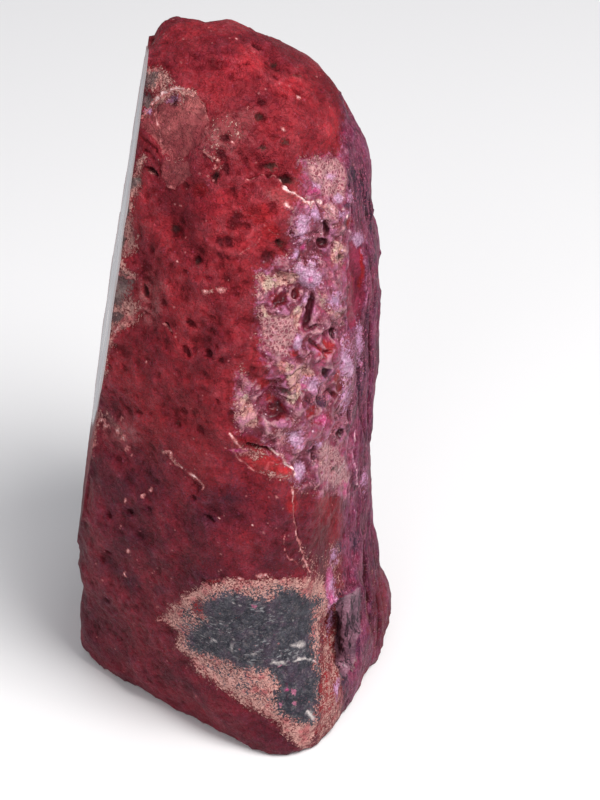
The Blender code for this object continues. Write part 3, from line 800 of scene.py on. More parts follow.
def worn_relief(surface):
    """Lumps and bowls all over, deepest high on the near side, and calmer on the right flank."""
    points = surface.points
    calm = 1 - 0.75 * beyond(surface, CALM_FLANK) * surface.near
    out = 0.2 * calm * noise_at(points, 3.2, (1, 2, 3))
    out += 0.1 * noise_at(points, 1.5, (4, 2, 6))
    out += 0.07 * surface.wobble
    upper = 0.4 + 0.6 * higher(points, UPPER_HALF)
    patchy = smooth_step(0.55 + 1.5 * noise_at(points, 8.0, (2, 7, 7)))
    from_spot = ((surface.pixels - ROUGH_SPOT) ** 2).sum(axis=1)
    rough = 0.20 + 0.30 * surface.near * np.exp(-from_spot / ROUGH_REACH**2)
    astray = warped(points, 2.6, 1.5, (4, 4, 1))
    out -= calm * upper * patchy * rough * bowls(astray, 3.1, (3, 1, 2))
    out -= calm * (0.3 + 0.7 * patchy) * 0.2 * bowls(astray, 1.5, (8, 5, 1))
    return out


def placed_relief(surface):
    """Pits, ledges and crevices at their places on the near side and on the hidden ones."""
    out = near_pits(surface) + hidden_pits(surface)
    for pixel, width, height, turn, depth in PITS:
        out += pit(surface, surface.at_pixel(pixel), width, height, turn, depth)
    for find, ledges, crevices in (
        (surface.at_pixel, LEDGES, CREVICES),
        (surface.at_bearing, HIDDEN_LEDGES, HIDDEN_CREVICES),
    ):
        for route, lift, fade in ledges:
            out += ledge(surface, [find(p) for p in route], lift, fade)
        for route, width, depth in crevices:
            out += crevice(surface, [find(p) for p in route], width, depth)
    return out


def warped(points, size, reach, offset):
    """The points moved about, so that a pattern read at them is irregular."""
    shift = Vector(offset)
    return points + reach * np.array([noise.noise_vector(Vector(p) / size + shift) for p in points])


def bowls(points, size, offset):
    """Shallow bowls side by side with sharp walls between them: 1 in their middles."""
    shift = Vector(offset)
    nearest = np.array([noise.voronoi(Vector(p) / size + shift)[0][0] for p in points])
    return 1 - np.clip(nearest / BOWL_REACH, 0, 1) ** 2


def ridge_relief(surface):
    """Broken lumps along the band where the near flanks meet."""
    band = surface.near * smooth_step(0.5 + inside(surface.frayed, RIDGE) / 14)
    lumps = np.abs(noise_at(surface.points, 2.3, (6, 6, 1)))
    laced = outlines_mask(surface.frayed, LACE, 5)
    return band * (1 - 0.8 * laced) * (-0.2 + 0.85 * lumps + 0.12 * surface.wobble)


def flutes(surface):
    """Upright grooves on the flank to the right and on round the back."""
    points = surface.points
    bearings = surface.bearings
    inside_band = step_at(bearings, FLUTES_FROM) * step_at(bearings, FLUTES_TO)
    fading = higher(points, FLUTES_TOP)
    girth = np.radians(bearings) * GIRTH_RADIUS
    stretched = np.stack([girth / FLUTE_WIDTH, points[:, 2] / FLUTE_LENGTH, 0 * girth], axis=1)
    lines = 1 - np.abs(noise_at(stretched, 1.0, (5, 3, 1))) * 3.2
    return -FLUTE_DEPTH * inside_band * fading * np.clip(lines, 0, 1)


def pit(surface, spot, width, height, turn, depth):
    """An uneven, round-bottomed pit."""
    distance = oval_distance(surface.points, spot, width, height, turn) + 0.3 * surface.wobble
    return -depth * smooth_step((1.15 - distance) / PIT_WALL)


def near_pits(surface):
    """Small pits scattered over the crimson flank, more of them in its upper half."""
    chance = np.random.default_rng(SCATTER_SEED)
    total = np.zeros(len(surface.points))
    for _ in range(NEAR_PITS):
        pixel = (chance.uniform(*NEAR_PIT_SPAN[0]), chance.uniform(*NEAR_PIT_SPAN[1]))
        width, tall = chance.uniform(*NEAR_PIT_SIZE, 2)
        depth = chance.uniform(0.25, 0.6) * min(width, tall)
        total += pit(surface, surface.at_pixel(pixel), width, tall, chance.uniform(0, 90), depth)
    return total * surface.near


def hidden_pits(surface):
    """Pits scattered over the hidden sides, more of them higher up."""
    chance = np.random.default_rng(SCATTER_SEED)
    total = np.zeros(len(surface.points))
    for _ in range(HIDDEN_PITS):
        bearing = chance.uniform(*HIDDEN_PIT_SPAN)
        height = HIDDEN_PIT_TOP * (1 - chance.uniform(0.2, 1) ** 2)
        width, tall = chance.uniform(*HIDDEN_PIT_SIZE, 2)
        depth = 0.7 * min(width, tall)
        spot = surface.at_bearing((bearing, height))
        total += pit(surface, spot, width, tall, chance.uniform(0, 90), depth)
    return total * (1 - surface.near)


def ledge(surface, spots, lift, fade):
    """A step along the route: the side below it stands proud and falls back over the fade."""
    nearest, side, along = route_distance(surface.points, spots)
    side = side + 0.5 * surface.wobble
    falling = np.clip(1 - nearest / fade, 0, 1) ** 1.5
    share, left = ROUTE_TAPER["ledge"]
    ends = smooth_step(along / share + left) * smooth_step((1 - along) / share + left)
    return lift * falling * smooth_step(side / 0.4 + 0.3) * ends


def crevice(surface, spots, half_width, depth):
    """A groove of uneven width along the route, tapering at both ends."""
    nearest, _, along = route_distance(surface.points, spots)
    share, left = ROUTE_TAPER["crevice"]
    tapering = smooth_step(np.minimum(along, 1 - along) / share + left)
    width = half_width * (2 + 1.4 * surface.wobble)
    return -depth * tapering * smooth_step(1 - nearest / np.maximum(width, 0.2))


def inside(pixels, outline):
    """Signed distance in pixels from the outline, above 0 inside it."""
    x = pixels[:, 0]
    y = pixels[:, 1]
    nearest = pixel_distance(pixels, (*outline, outline[0]))
    within = np.zeros(len(pixels), bool)
    for (ax, ay), (bx, by) in zip(outline, outline[1:] + outline[:1]):
        crosses = (ay > y) != (by > y)
        slope_x = (bx - ax) * (y - ay) / ((by - ay) or 1e-9) + ax
        within ^= crosses & (x < slope_x)
    return np.where(within, nearest, -nearest)


def pixel_distance(pixels, route):
    """How far the pixels lie from a line through the route's places."""
    nearest = np.full(len(pixels), FAR)
    for (ax, ay), (bx, by) in zip(route, route[1:]):
        dx = bx - ax
        dy = by - ay
        share = ((pixels[:, 0] - ax) * dx + (pixels[:, 1] - ay) * dy) / (dx * dx + dy * dy)
        share = np.clip(share, 0, 1)
        away = np.hypot(pixels[:, 0] - ax - share * dx, pixels[:, 1] - ay - share * dy)
        nearest = np.minimum(nearest, away)
    return nearest


# ---------------------------------------------------------------- masks
GRIME_REACH = 8.0  # from the polished face's plane
RIM_CRUST_REACH = 2.6
DEEP_AT = 0.9
RAISED_AT = 0.16


def spots_mask(pixels, spots, soft=0.5):
    """1 in the ovals' middles and a half on their edges."""
    mask = np.zeros(len(pixels))
    for (x, y), rx, ry in spots:
        distance = np.hypot((pixels[:, 0] - x) / rx, (pixels[:, 1] - y) / ry)
        mask = np.maximum(mask, np.clip(0.5 + (1 - distance) * soft, 0, 1))
    return mask


def outlines_mask(pixels, outlines, soft):
    """1 inside the outlines and 0 outside, changing over soft pixels to each side."""
    mask = np.zeros(len(pixels))
    for outline in outlines:
        mask = np.maximum(mask, np.clip(0.5 + inside(pixels, outline) / (2 * soft), 0, 1))
    return mask


def pale_and_highlight_mask(surface):
    """Specks, flecks and broken edges where the stone's own pale colour shows, partly painted highlights
    and glints.
    """
    pixels = surface.frayed
    mask = spots_mask(surface.pixels, [(pixel, 1.1, 1.0) for pixel in PALE_SPECKS_AND_GLINTS], 0.8)
    mask = np.maximum(mask, 0.85 * spots_mask(pixels, PALE_FLECKS, 0.8))
    for route, width, strength in PALE_EDGES_AND_HIGHLIGHTS:
        line = np.clip(1.3 - pixel_distance(pixels, route) / (width * 1.5), 0, 1)
        mask = np.maximum(mask, strength * line * (0.85 + 0.9 * surface.wobble))
    return np.clip(mask, 0, 1) * surface.near


def crust_mask(surface):
    """How dense the pale grains lie."""
    near = surface.near
    return np.maximum(near * near_crust(surface), (1 - near) * hidden_crust(surface))


def near_crust(surface):
    pixels = surface.frayed
    mask = 0.42 * smooth_step(0.5 + inside(pixels, RIDGE) / 16)
    mask = np.maximum(mask, 0.26 * beyond(surface, DUSTY_FLANK))
    for density, outline in CRUST:
        mask = np.maximum(mask, density * outlines_mask(pixels, (outline,), 6))
    for route, width, density in CRUST_ROUTES:
        line = np.clip(1.2 - pixel_distance(pixels, route) / (width * 1.4), 0, 1)
        mask = np.maximum(mask, density * line)
    mask = np.maximum(mask, 0.9 * outlines_mask(pixels, (HALO,), 4.5))
    mask = np.maximum(mask, 0.58 * outlines_mask(pixels, (SALMON,), 3))
    # Grains thicken under the painted lilac sheen
    mask = np.maximum(mask, 0.9 * spots_mask(pixels, LILAC_SHEEN_SPOTS))
    mask *= 1 - spots_mask(pixels, RED_SPOTS)
    mask *= 1 - 0.85 * spots_mask(pixels, (RIGHT_FOOT,))
    mask *= 1 - 0.8 * outlines_mask(pixels, (LENS_SCAR, FLAKE), 2)
    return np.maximum(mask, 0.62 * outlines_mask(pixels, FLAKE_CRUST, 3))


def hidden_crust(surface):
    """Patches of crust, and a broken line of it along the polished face's rim."""
    mask = np.maximum(
        0.8 * hidden_mask(surface, HIDDEN_LILAC_SHEEN), 0.3 * hidden_mask(surface, HIDDEN_VIOLET, 1.0)
    )
    for *oval, density in HIDDEN_CRUST:
        mask = np.maximum(mask, density * hidden_mask(surface, (oval,), 1.0))
    rim = np.clip(1.15 - surface.to_face / RIM_CRUST_REACH, 0, 1)
    rim = rim * higher(surface.points, RIM_CRUST_FOOT)
    rim = rim * (0.5 + 1.1 * noise_at(surface.points, 5.0, (3, 3, 8)))
    return np.maximum(mask, rim)


def hidden_mask(surface, ovals, soft=0.5):
    """1 in the middles of ovals on the hidden sides, whose edges stray."""
    mask = np.zeros(len(surface.points))
    for bearing, height, width, tall in ovals:
        distance = oval_distance(surface.astray, surface.at_bearing((bearing, height)), width, tall)
        mask = np.maximum(mask, np.clip(0.5 + (1 - distance) * soft, 0, 1))
    return mask


def store(mesh, name, values):
    attribute = mesh.attributes.new(name, "FLOAT", "POINT")
    attribute.data.foreach_set("value", np.asarray(values, np.float32))


def relief_signs(mesh):
    """How far each point stands above its neighbourhood, in millimetres: edges above 0, hollows below."""
    points = points_of(mesh)
    ends = np.empty(len(mesh.edges) * 2, int)
    mesh.edges.foreach_get("vertices", ends)
    ends = ends.reshape(-1, 2)
    both = np.concatenate([ends, ends[:, ::-1]])
    count = np.bincount(both[:, 0], minlength=len(points))
    level = points.copy()
    for _ in range(RELIEF_REACH):
        for axis in range(3):
            total = np.bincount(both[:, 0], weights=level[both[:, 1], axis], minlength=len(points))
            level[:, axis] = total / count
    return ((points - level) * normals_of(mesh)).sum(axis=1)


# Masks made of the near side's spots or outlines alone, and how soft each one is
SPOTTED = {
    "bluish": (BLUISH_SPOTS, 0.5),
    "olive": (OLIVE_SPOTS, 0.5),
    "grey": (GREY_CHIPS, 0.5),
    "pinks": (PATCH_PINKS, 0.5),
    # Painted highlight on the pearls
    "pearl_highlight": (PEARL_HIGHLIGHTS, 0.8),
    # Painted light in the lit clouds
    "lit_clouds": (LIT_CLOUDS, 0.5),
    "dark_spot": (DARK_SPOTS, 0.8),
    "quartz": (QUARTZ, 1.0),
    "haze": (HAZE, 0.5),
    "magenta": (MAGENTA_SPOTS, 0.5),
}
OUTLINED = {
    "disc": ((DISC, DISC_LOBE), 3),
    "lens": ((LENS_SCAR,), 2.5),
    "cavity": ((CAVITY,), 3),
    "lace": (LACE, 5),
    "ridge": ((RIDGE,), 10),
}


def paint_masks(stone, surface, moved):
    """Writes, for each point, how much it belongs to each kind of surface."""
    mesh = stone.data
    pixels = surface.frayed
    near = surface.near
    away = 1 - near
    store(mesh, "crust", crust_mask(surface))
    slate = np.clip(0.65 + inside(pixels, SLATE) / 14, 0, 1)
    for density, outline in SPARSE_SLATE:
        slate = np.maximum(slate, density * outlines_mask(pixels, (outline,), 4))
    store(mesh, "slate", near * slate + away * hidden_mask(surface, HIDDEN_SLATE, 1.0))
    violet = beyond(surface, VIOLET_FLANK)
    violet = np.maximum(violet, 0.4 * smooth_step(0.5 + inside(pixels, RIDGE) / 24))
    violet *= 1 - 0.9 * outlines_mask(pixels, (HALO, SALMON), 3)
    violet *= 1 - 0.7 * spots_mask(pixels, (RIGHT_FOOT,))
    store(mesh, "violet", np.maximum(near * violet, away * hidden_mask(surface, HIDDEN_VIOLET, 1.0)))
    # The lilac mask is painted sheen
    lilac = near * spots_mask(pixels, LILAC_SHEEN_SPOTS)
    store(mesh, "lilac", np.maximum(lilac, away * hidden_mask(surface, HIDDEN_LILAC_SHEEN)))
    red = np.maximum(spots_mask(pixels, RED_SPOTS), 0.8 * outlines_mask(pixels, (SALMON,), 4))
    store(mesh, "red", red * near)
    flake = 0.55 * outlines_mask(pixels, (FLAKE,), 2) + 0.45 * outlines_mask(pixels, (FLAKE_HEART,), 3)
    store(mesh, "flake", flake * near)
    for name, (spots, soft) in SPOTTED.items():
        store(mesh, name, spots_mask(pixels, spots, soft) * near)
    for name, (outlines, soft) in OUTLINED.items():
        store(mesh, name, outlines_mask(pixels, outlines, soft) * near)
    store(mesh, "grimy", near * np.clip(1.1 - surface.to_face / GRIME_REACH, 0, 1))
    # Pale edges and specks, partly painted highlights and glints
    store(mesh, "pale", pale_and_highlight_mask(surface))
    wine = outlines_mask(pixels, (WINE,), 30) * (1 - 0.45 * spots_mask(pixels, WARM_CLOUDS))
    wine = np.maximum(wine, spots_mask(pixels, (WINE_FOOT,)))
    low = away * higher(surface.points, WINE_TOP)
    store(mesh, "wine", np.maximum(near * wine, low))
    store(mesh, "deep", np.clip(-moved / DEEP_AT, 0, 1))
    store(mesh, "raised", np.clip(relief_signs(mesh) / RAISED_AT, -1, 1))
    store(mesh, "from_rim", rim_distance(surface))
    store(mesh, "polish", np.clip(above_foot(surface.points) / FOOT_FADE - 0.3, 0, 1))


def above_foot(points):
    """How high points of the face lie above the arc where its polish ends."""
    return points[:, 2] - FOOT_LOW - FOOT_RISE * (points[:, 0] - FOOT_MIDDLE) ** 2


def rim_distance(surface):
    """How far a point of the polished face lies from the face's rim, rounding off the rim's small teeth."""
    distance = np.zeros(len(surface.points))
    across = unit(np.cross((0, 0, 1), FACE_LOOKS))
    in_plane = np.stack([across, np.cross(FACE_LOOKS, across)], axis=1)
    flat = surface.points[surface.on_face] @ in_plane
    ring = (~surface.on_face) & (np.abs(surface.to_face) < SNAP + VOXEL)
    rim = surface.points[ring][::3] @ in_plane
    total = np.zeros(len(flat))
    for point in rim:
        total += np.exp(-np.hypot(*(flat - point).T) / BAND_ROUNDING)
    distance[surface.on_face] = -BAND_ROUNDING * np.log(np.maximum(total, 1e-30))
    return distance


# ---------------------------------------------------------------- materials
DASH_STRETCH = (1.0, 0.42, 1.25)
FIBRE_STRETCH = (1.0, 1.0, 0.13)


class Graph:
    """A short way to write nodes: each call adds one and returns the socket to use."""

    def __init__(self, tree):
        self.tree = tree

    def node(self, kind, **settings):
        made = self.tree.nodes.new(kind)
        for name, value in settings.items():
            setattr(made, name, value)
        return made

    def feed(self, socket, value):
        if isinstance(value, bpy.types.NodeSocket):
            self.tree.links.new(value, socket)
        elif isinstance(value, tuple) and len(value) == 3 and socket.type == "RGBA":
            socket.default_value = (*value, 1.0)
        else:
            socket.default_value = value

    def millimetres(self):
        place = self.node("ShaderNodeTexCoord").outputs["Object"]
        scaled = self.node("ShaderNodeVectorMath", operation="SCALE")
        self.feed(scaled.inputs[0], place)
        self.feed(scaled.inputs["Scale"], 1 / MM)
        return scaled.outputs["Vector"]

    def attribute(self, name):
        return self.node("ShaderNodeAttribute", attribute_name=name).outputs["Fac"]

    def maths(self, operation, a, b=0.0, clamp=False):
        made = self.node("ShaderNodeMath", operation=operation, use_clamp=clamp)
        self.feed(made.inputs[0], a)
        self.feed(made.inputs[1], b)
        return made.outputs[0]

    def times(self, a, b, clamp=False):
        return self.maths("MULTIPLY", a, b, clamp)

    def plus(self, a, b, clamp=False):
        return self.maths("ADD", a, b, clamp)

    def minus(self, a, b, clamp=False):
        return self.maths("SUBTRACT", a, b, clamp)

    def larger(self, a, b):
        return self.maths("MAXIMUM", a, b)

    def mix(self, share, a, b, blend="MIX"):
        made = self.node("ShaderNodeMix", data_type="RGBA", blend_type=blend)
        self.feed(made.inputs["Factor"], share)
        self.feed(made.inputs[6], a)
        self.feed(made.inputs[7], b)
        return made.outputs[2]

    def noise(self, place, size, detail=4.0, rough=0.55, distort=0.0):
        made = self.node("ShaderNodeTexNoise")
        self.feed(made.inputs["Vector"], place)
        self.feed(made.inputs["Scale"], self.over(size))
        self.feed(made.inputs["Detail"], detail)
        self.feed(made.inputs["Roughness"], rough)
        self.feed(made.inputs["Distortion"], distort)
        return made.outputs["Fac"]

    def cells(self, place, size, feature="F1", output="Distance"):
        made = self.node("ShaderNodeTexVoronoi", feature=feature)
        self.feed(made.inputs["Vector"], place)
        self.feed(made.inputs["Scale"], self.over(size))
        return made.outputs[output]

    def over(self, size):
        return 1.0 / size if isinstance(size, float) else self.maths("DIVIDE", 1.0, size)

    def ramp(self, value, low, high, out_low=0.0, out_high=1.0, smooth=True):
        made = self.node("ShaderNodeMapRange", interpolation_type="SMOOTHSTEP" if smooth else "LINEAR")
        self.feed(made.inputs["Value"], value)
        ends = {"From Min": low, "From Max": high, "To Min": out_low, "To Max": out_high}
        for name, number in ends.items():
            self.feed(made.inputs[name], number)
        return made.outputs["Result"]

    def stretched(self, place, stretch):
        made = self.node("ShaderNodeVectorMath", operation="MULTIPLY")
        self.feed(made.inputs[0], place)
        self.feed(made.inputs[1], stretch)
        return made.outputs["Vector"]

    def bump(self, height, strength, distance):
        made = self.node("ShaderNodeBump")
        self.feed(made.inputs["Height"], height)
        self.feed(made.inputs["Strength"], strength)
        self.feed(made.inputs["Distance"], distance)
        return made.outputs["Normal"]


SOCKETS = {float: "NodeSocketFloat", tuple: "NodeSocketColor", Vector: "NodeSocketVector"}


def effect(name, inputs, outputs, build):
    """A shader node group with named inputs and outputs, used by several materials."""
    tree = bpy.data.node_groups.new(name, "ShaderNodeTree")
    for title, value in inputs.items():
        socket = tree.interface.new_socket(title, in_out="INPUT", socket_type=SOCKETS[type(value)])
        socket.default_value = (*value, 1.0) if isinstance(value, tuple) else value
    for title in outputs:
        kind = SOCKETS[tuple if title == "Colour" else float]
        tree.interface.new_socket(title, in_out="OUTPUT", socket_type=kind)
    entry = tree.nodes.new("NodeGroupInput")
    leave = tree.nodes.new("NodeGroupOutput")
    for title, socket in zip(outputs, build(Graph(tree), entry.outputs)):
        tree.links.new(socket, leave.inputs[title])
    return tree


def use(graph, group, **values):
    made = graph.node("ShaderNodeGroup", node_tree=group)
    for name, value in values.items():
        graph.feed(made.inputs[name], value)
    return made.outputs


def build_ragged(graph, given):
    """Frays a soft mask with two sizes of noise and gives it a crisp edge."""
    place = graph.millimetres()
    coarse = graph.minus(graph.noise(place, given["Size"], 5.0, 0.65), 0.5)
    fine = graph.minus(graph.noise(place, 0.32, 3.0, 0.6), 0.5)
    frayed = graph.times(graph.plus(coarse, fine), given["Fray"])
    total = graph.plus(given["Mask"], frayed)
    low = graph.minus(0.5, given["Softness"])
    high = graph.plus(0.5, given["Softness"])
    return [graph.ramp(total, low, high)]


def build_mottle(graph, given):
    """Cloudy dyed colour: broad clouds, blotches and fine grain."""
    place = graph.millimetres()
    broad = graph.noise(place, 8.0, 3.0, 0.5, 0.3)
    blotch = graph.noise(place, 2.0, 6.0, 0.68, 0.5)
    grain = graph.noise(place, 0.34, 4.0, 0.7)
    first = graph.mix(graph.ramp(broad, 0.35, 0.65), given["Dark"], given["Light"])
    dark = graph.mix(1.0, first, (0.72, 0.66, 0.70), "MULTIPLY")
    second = graph.mix(graph.ramp(blotch, 0.36, 0.60), dark, first)
    darker = graph.mix(1.0, second, (0.90, 0.83, 0.86), "MULTIPLY")
    lighter = graph.mix(1.0, second, (1.12, 1.40, 1.32), "MULTIPLY")
    return [graph.mix(graph.ramp(grain, 0.33, 0.67), darker, lighter)]


def build_specks(graph, given):
    """Scattered small spots, each cell holding one or none."""
    place = graph.stretched(graph.millimetres(), given["Stretch"])
    distance = graph.cells(place, given["Size"])
    tint = graph.cells(place, given["Size"], output="Color")
    split = graph.node("ShaderNodeSeparateColor")
    graph.feed(split.inputs["Color"], tint)
    chosen = graph.maths("LESS_THAN", split.outputs["Red"], given["Share"])
    size = graph.maths("MULTIPLY_ADD", split.outputs["Green"], 0.20)
    size.node.inputs[2].default_value = 0.10
    spot = graph.ramp(distance, size, graph.times(size, 0.5))
    return [graph.times(spot, chosen)]


def build_grains(graph, given):
    """Uneven pale crumbs on darker stone: Density is about the share that is pale."""
    place = graph.millimetres()
    crumbs = graph.noise(place, given["Size"], 4.0, 0.62, 0.6)
    clumps = graph.minus(graph.noise(place, 1.3, 4.0, 0.65), 0.5)
    both = graph.plus(crumbs, graph.times(clumps, 0.55))
    threshold = graph.ramp(given["Density"], 0.0, 1.0, 0.66, 0.36, smooth=False)
    spare = graph.minus(both, threshold)
    some = graph.ramp(given["Density"], 0.02, 0.12)
    pale = graph.times(graph.ramp(spare, -0.015, 0.05), some)
    return [pale, graph.ramp(graph.noise(place, 0.5, 2.0), 0.35, 0.65)]


def build_lace(graph, given):
    """Lines round small cells of uneven size."""
    place = graph.millimetres()
    strays = graph.node("ShaderNodeTexNoise")
    graph.feed(strays.inputs["Vector"], place)
    graph.feed(strays.inputs["Scale"], 1.1)
    astray = graph.node("ShaderNodeVectorMath", operation="MULTIPLY_ADD")
    graph.feed(astray.inputs[0], strays.outputs["Color"])
    astray.inputs[1].default_value = (1.1, 1.1, 1.1)
    graph.feed(astray.inputs[2], place)
    from_edge = graph.cells(astray.outputs["Vector"], given["Size"], "DISTANCE_TO_EDGE")
    return [graph.ramp(from_edge, 0.26, 0.06)]


def build_dashes(graph, given):
    """Short level dashes, as of quartz that shows through."""
    place = graph.millimetres()
    field = graph.noise(graph.stretched(place, DASH_STRETCH), given["Size"], 2.0, 0.5)
    field = graph.plus(field, graph.ramp(graph.noise(place, 5.0, 3.0), 0.4, 0.6, -0.08, 0.03))
    return [graph.ramp(field, 0.58, 0.67)]


def build_threads(graph, given):
    """Thin branching lines, as of dust caught on worn walls."""
    field = graph.noise(graph.millimetres(), given["Size"], 5.0, 0.62, 0.9)
    from_line = graph.maths("ABSOLUTE", graph.minus(field, 0.5))
    return [graph.ramp(from_line, given["Width"], 0.0)]


def build_streaks(graph, given):
    """Dark upright lines, as between the fibres of a fluted flank."""
    place = graph.stretched(graph.millimetres(), FIBRE_STRETCH)
    lines = graph.noise(place, given["Size"], 4.0, 0.6, 0.2)
    return [graph.ramp(graph.maths("ABSOLUTE", graph.minus(lines, 0.5)), 0.045, 0.0)]


def build_grain(graph, given):
    """Height of the rind's fine roughness."""
    place = graph.millimetres()
    lumps = graph.noise(place, 0.9, 5.0, 0.66)
    holes = graph.cells(place, 0.7)
    pores = graph.ramp(holes, 0.0, 0.36, -0.5, 0.0)
    return [graph.plus(lumps, graph.times(pores, given["Pores"]))]


# The node groups: name, inputs with their first values, outputs, and what builds them
EFFECTS = {
    "ragged": (
        "ragged edge",
        {"Mask": 0.0, "Size": 1.5, "Fray": 1.0, "Softness": 0.06},
        ("Mask",),
        build_ragged,
    ),
    "mottle": (
        "dye mottle",
        {"Dark": (0.1, 0.01, 0.02), "Light": (0.3, 0.03, 0.04)},
        ("Colour",),
        build_mottle,
    ),
    "specks": (
        "specks",
        {"Size": 1.0, "Share": 0.2, "Stretch": Vector((1, 1, 1))},
        ("Mask",),
        build_specks,
    ),
    "grains": ("crust grains", {"Size": 0.4, "Density": 0.5}, ("Mask", "Chance"), build_grains),
    "threads": ("dust threads", {"Size": 1.5, "Width": 0.05}, ("Mask",), build_threads),
    "dashes": ("level dashes", {"Size": 0.5}, ("Mask",), build_dashes),
    "lace": ("lace", {"Size": 0.6}, ("Mask",), build_lace),
    "streaks": ("upright streaks", {"Size": 1.0}, ("Mask",), build_streaks),
    "grain": ("rind grain", {"Pores": 1.0}, ("Height",), build_grain),
}


def make_effects():
    return {key: effect(*parts) for key, parts in EFFECTS.items()}


# Colours are linear red, green, blue. A dye is a pair: its dark and its light.
CRIMSON_DYE = ((0.160, 0.0058, 0.0120), (0.262, 0.0118, 0.0188))
WINE_DYE = ((0.088, 0.0048, 0.0125), (0.166, 0.0078, 0.0172))
# The flank's violet: dye, with painted shade and sheen of a flank turned from the light
VIOLET_DYE_SHADE_AND_SHEEN = ((0.075, 0.0065, 0.022), (0.20, 0.0170, 0.051))
ROSE_DYE = ((0.13, 0.009, 0.028), (0.40, 0.052, 0.120))
DISC_DYE = ((0.25, 0.040, 0.048), (0.40, 0.105, 0.105))
LENS_DYE = ((0.19, 0.011, 0.032), (0.30, 0.028, 0.068))
RED_DYE = ((0.17, 0.006, 0.011), (0.36, 0.013, 0.018))
BLUISH_DYE = ((0.026, 0.009, 0.026), (0.080, 0.030, 0.066))
FLAKE_DYE = ((0.24, 0.0055, 0.010), (0.50, 0.017, 0.022))
CHIP_GREYS = ((0.12, 0.070, 0.072), (0.30, 0.19, 0.18))
CAVITY_MAUVES = ((0.080, 0.026, 0.052), (0.36, 0.15, 0.21))
DUSKY_GRAINS = ((0.28, 0.040, 0.085), (0.54, 0.16, 0.26))
# Painted lilac sheen on the crust's grains
LILAC_SHEEN_GRAINS = ((0.40, 0.12, 0.22), (0.66, 0.34, 0.58))
LACE_LINE = (0.24, 0.040, 0.070)
LACE_CELLS = ((0.38, 0.13, 0.165), (0.68, 0.37, 0.37))
# Painted highlight on the tops of the ridge's lumps
RIDGE_LIT_TOPS = ((0.62, 0.21, 0.38), (0.68, 0.33, 0.36))
# Painted highlight on the pearls
PEARLY_HIGHLIGHTS = ((0.46, 0.19, 0.34), (0.74, 0.46, 0.64))
LILAC_GLINTS = ((0.66, 0.34, 0.58), (0.76, 0.50, 0.74))
MAGENTA_GLINTS = ((0.56, 0.035, 0.19), (0.86, 0.28, 0.45))
SLATE_GREYS = ((0.030, 0.031, 0.043), (0.085, 0.083, 0.100))
QUARTZ_WHITES = ((0.12, 0.115, 0.13), (0.48, 0.47, 0.48))
CRUST_BEIGE = (0.64, 0.34, 0.30)
CRUST_SALMON = (0.55, 0.17, 0.17)
CRUST_CREAM = (0.62, 0.44, 0.35)
CRUST_GROUND = (0.24, 0.050, 0.052)
HAZE_PINK = (0.42, 0.085, 0.095)
FLAKE_PINK = (0.60, 0.10, 0.11)
FLAKE_SHADE = (0.15, 0.006, 0.010)
# Deep red in the ridge's hollows, darkened as painted shade
RIDGE_HOLLOW_RED_AND_SHADE = (0.17, 0.010, 0.026)
# Painted highlight sparks
SPARK_HIGHLIGHT = (0.88, 0.54, 0.66)
FIBRE = (0.38, 0.105, 0.18)
SLATE_VIOLET = (0.075, 0.052, 0.078)
SLATE_CRUMB = (0.22, 0.18, 0.18)
PATCH_PINK = (0.46, 0.15, 0.24)
CAVITY_CRACK = (0.02, 0.006, 0.014)
OLIVE = (0.050, 0.030, 0.022)
SHADOW = (0.035, 0.003, 0.007)
FLECK = (0.56, 0.20, 0.20)
# A broken edge where it's sharp, partly a painted highlight on a lit lip: on dyed rind and in the undyed
# patch
PALE_EDGE_AND_HIGHLIGHT = (0.92, 0.60, 0.60)
PALE_IN_PATCH = (0.66, 0.58, 0.56)
# The same edge where it's worn: on dyed rind, on the violet flank and in the patch
WEAK_PALE = (0.48, 0.15, 0.15)
WEAK_PALE_VIOLET = (0.44, 0.15, 0.25)
WEAK_PALE_PATCH = (0.26, 0.23, 0.24)
# What a layer does to the colour under it: a factor for each of red, green and blue
DARK_SPOT_TINT = (0.50, 0.50, 0.72)
# Painted light on the upper patches
LIT_TINT = (1.58, 1.42, 1.38)
# Pale dust, with a painted highlight on raised walls
DUST_AND_EDGE_HIGHLIGHT_TINT = (1.30, 3.3, 2.75)
# Painted shade in hollows
HOLLOW_SHADE_TINT = (0.42, 0.30, 0.38)
GRAIN_TINT = (0.66, 0.52, 0.52)
GRIME_TINT = (0.82, 0.74, 0.76)
PORE_TINT = (0.42, 0.20, 0.22)
STREAK_TINT = (0.35, 0.30, 0.42)
# Painted shade in dimples
DIMPLE_SHADE_TINT = (0.28, 0.35, 0.35)
TALL_DIMPLES = (1.0, 1.0, 1.3)

# How a mask's edge frays: the noise's size, how far it frays, its softness, and the layer's strength
FRAYING = {
    "wine": (4.0, 1.3, 0.38, 1.0),
    "dark_spot": (1.2, 0.9, 0.3, 0.6),
    "lit_clouds": (3.0, 1.2, 0.4, 0.7),
    "haze": (2.0, 1.4, 0.45, 0.3),
    "violet": (1.6, 0.9, 0.25, 1.0),
    "ridge": (1.8, 1.2, 0.25, 1.0),
    "disc": (1.2, 0.4, 0.1, 0.85),
    "lens": (1.0, 0.3, 0.08, 1.0),
    "red": (1.2, 0.7, 0.14, 1.0),
    "bluish": (1.3, 1.0, 0.15, 0.85),
    "flake": (0.9, 0.4, 0.35, 0.9),
    "lilac": (0.9, 0.9, 0.3, 1.0),
    "crust": (1.0, 1.2, 0.2, 0.5),
    "lace": (1.0, 0.9, 0.25, 0.9),
    "pearl_highlight": (0.9, 0.8, 0.3, 0.92),
    "pinks": (0.8, 0.6, 0.15, 1.0),
    "grey": (1.0, 1.1, 0.14, 0.9),
    "cavity": (1.2, 0.8, 0.1, 1.0),
    "magenta": (0.9, 0.9, 0.45, 0.8),
    "olive": (0.7, 1.5, 0.3, 0.7),
}


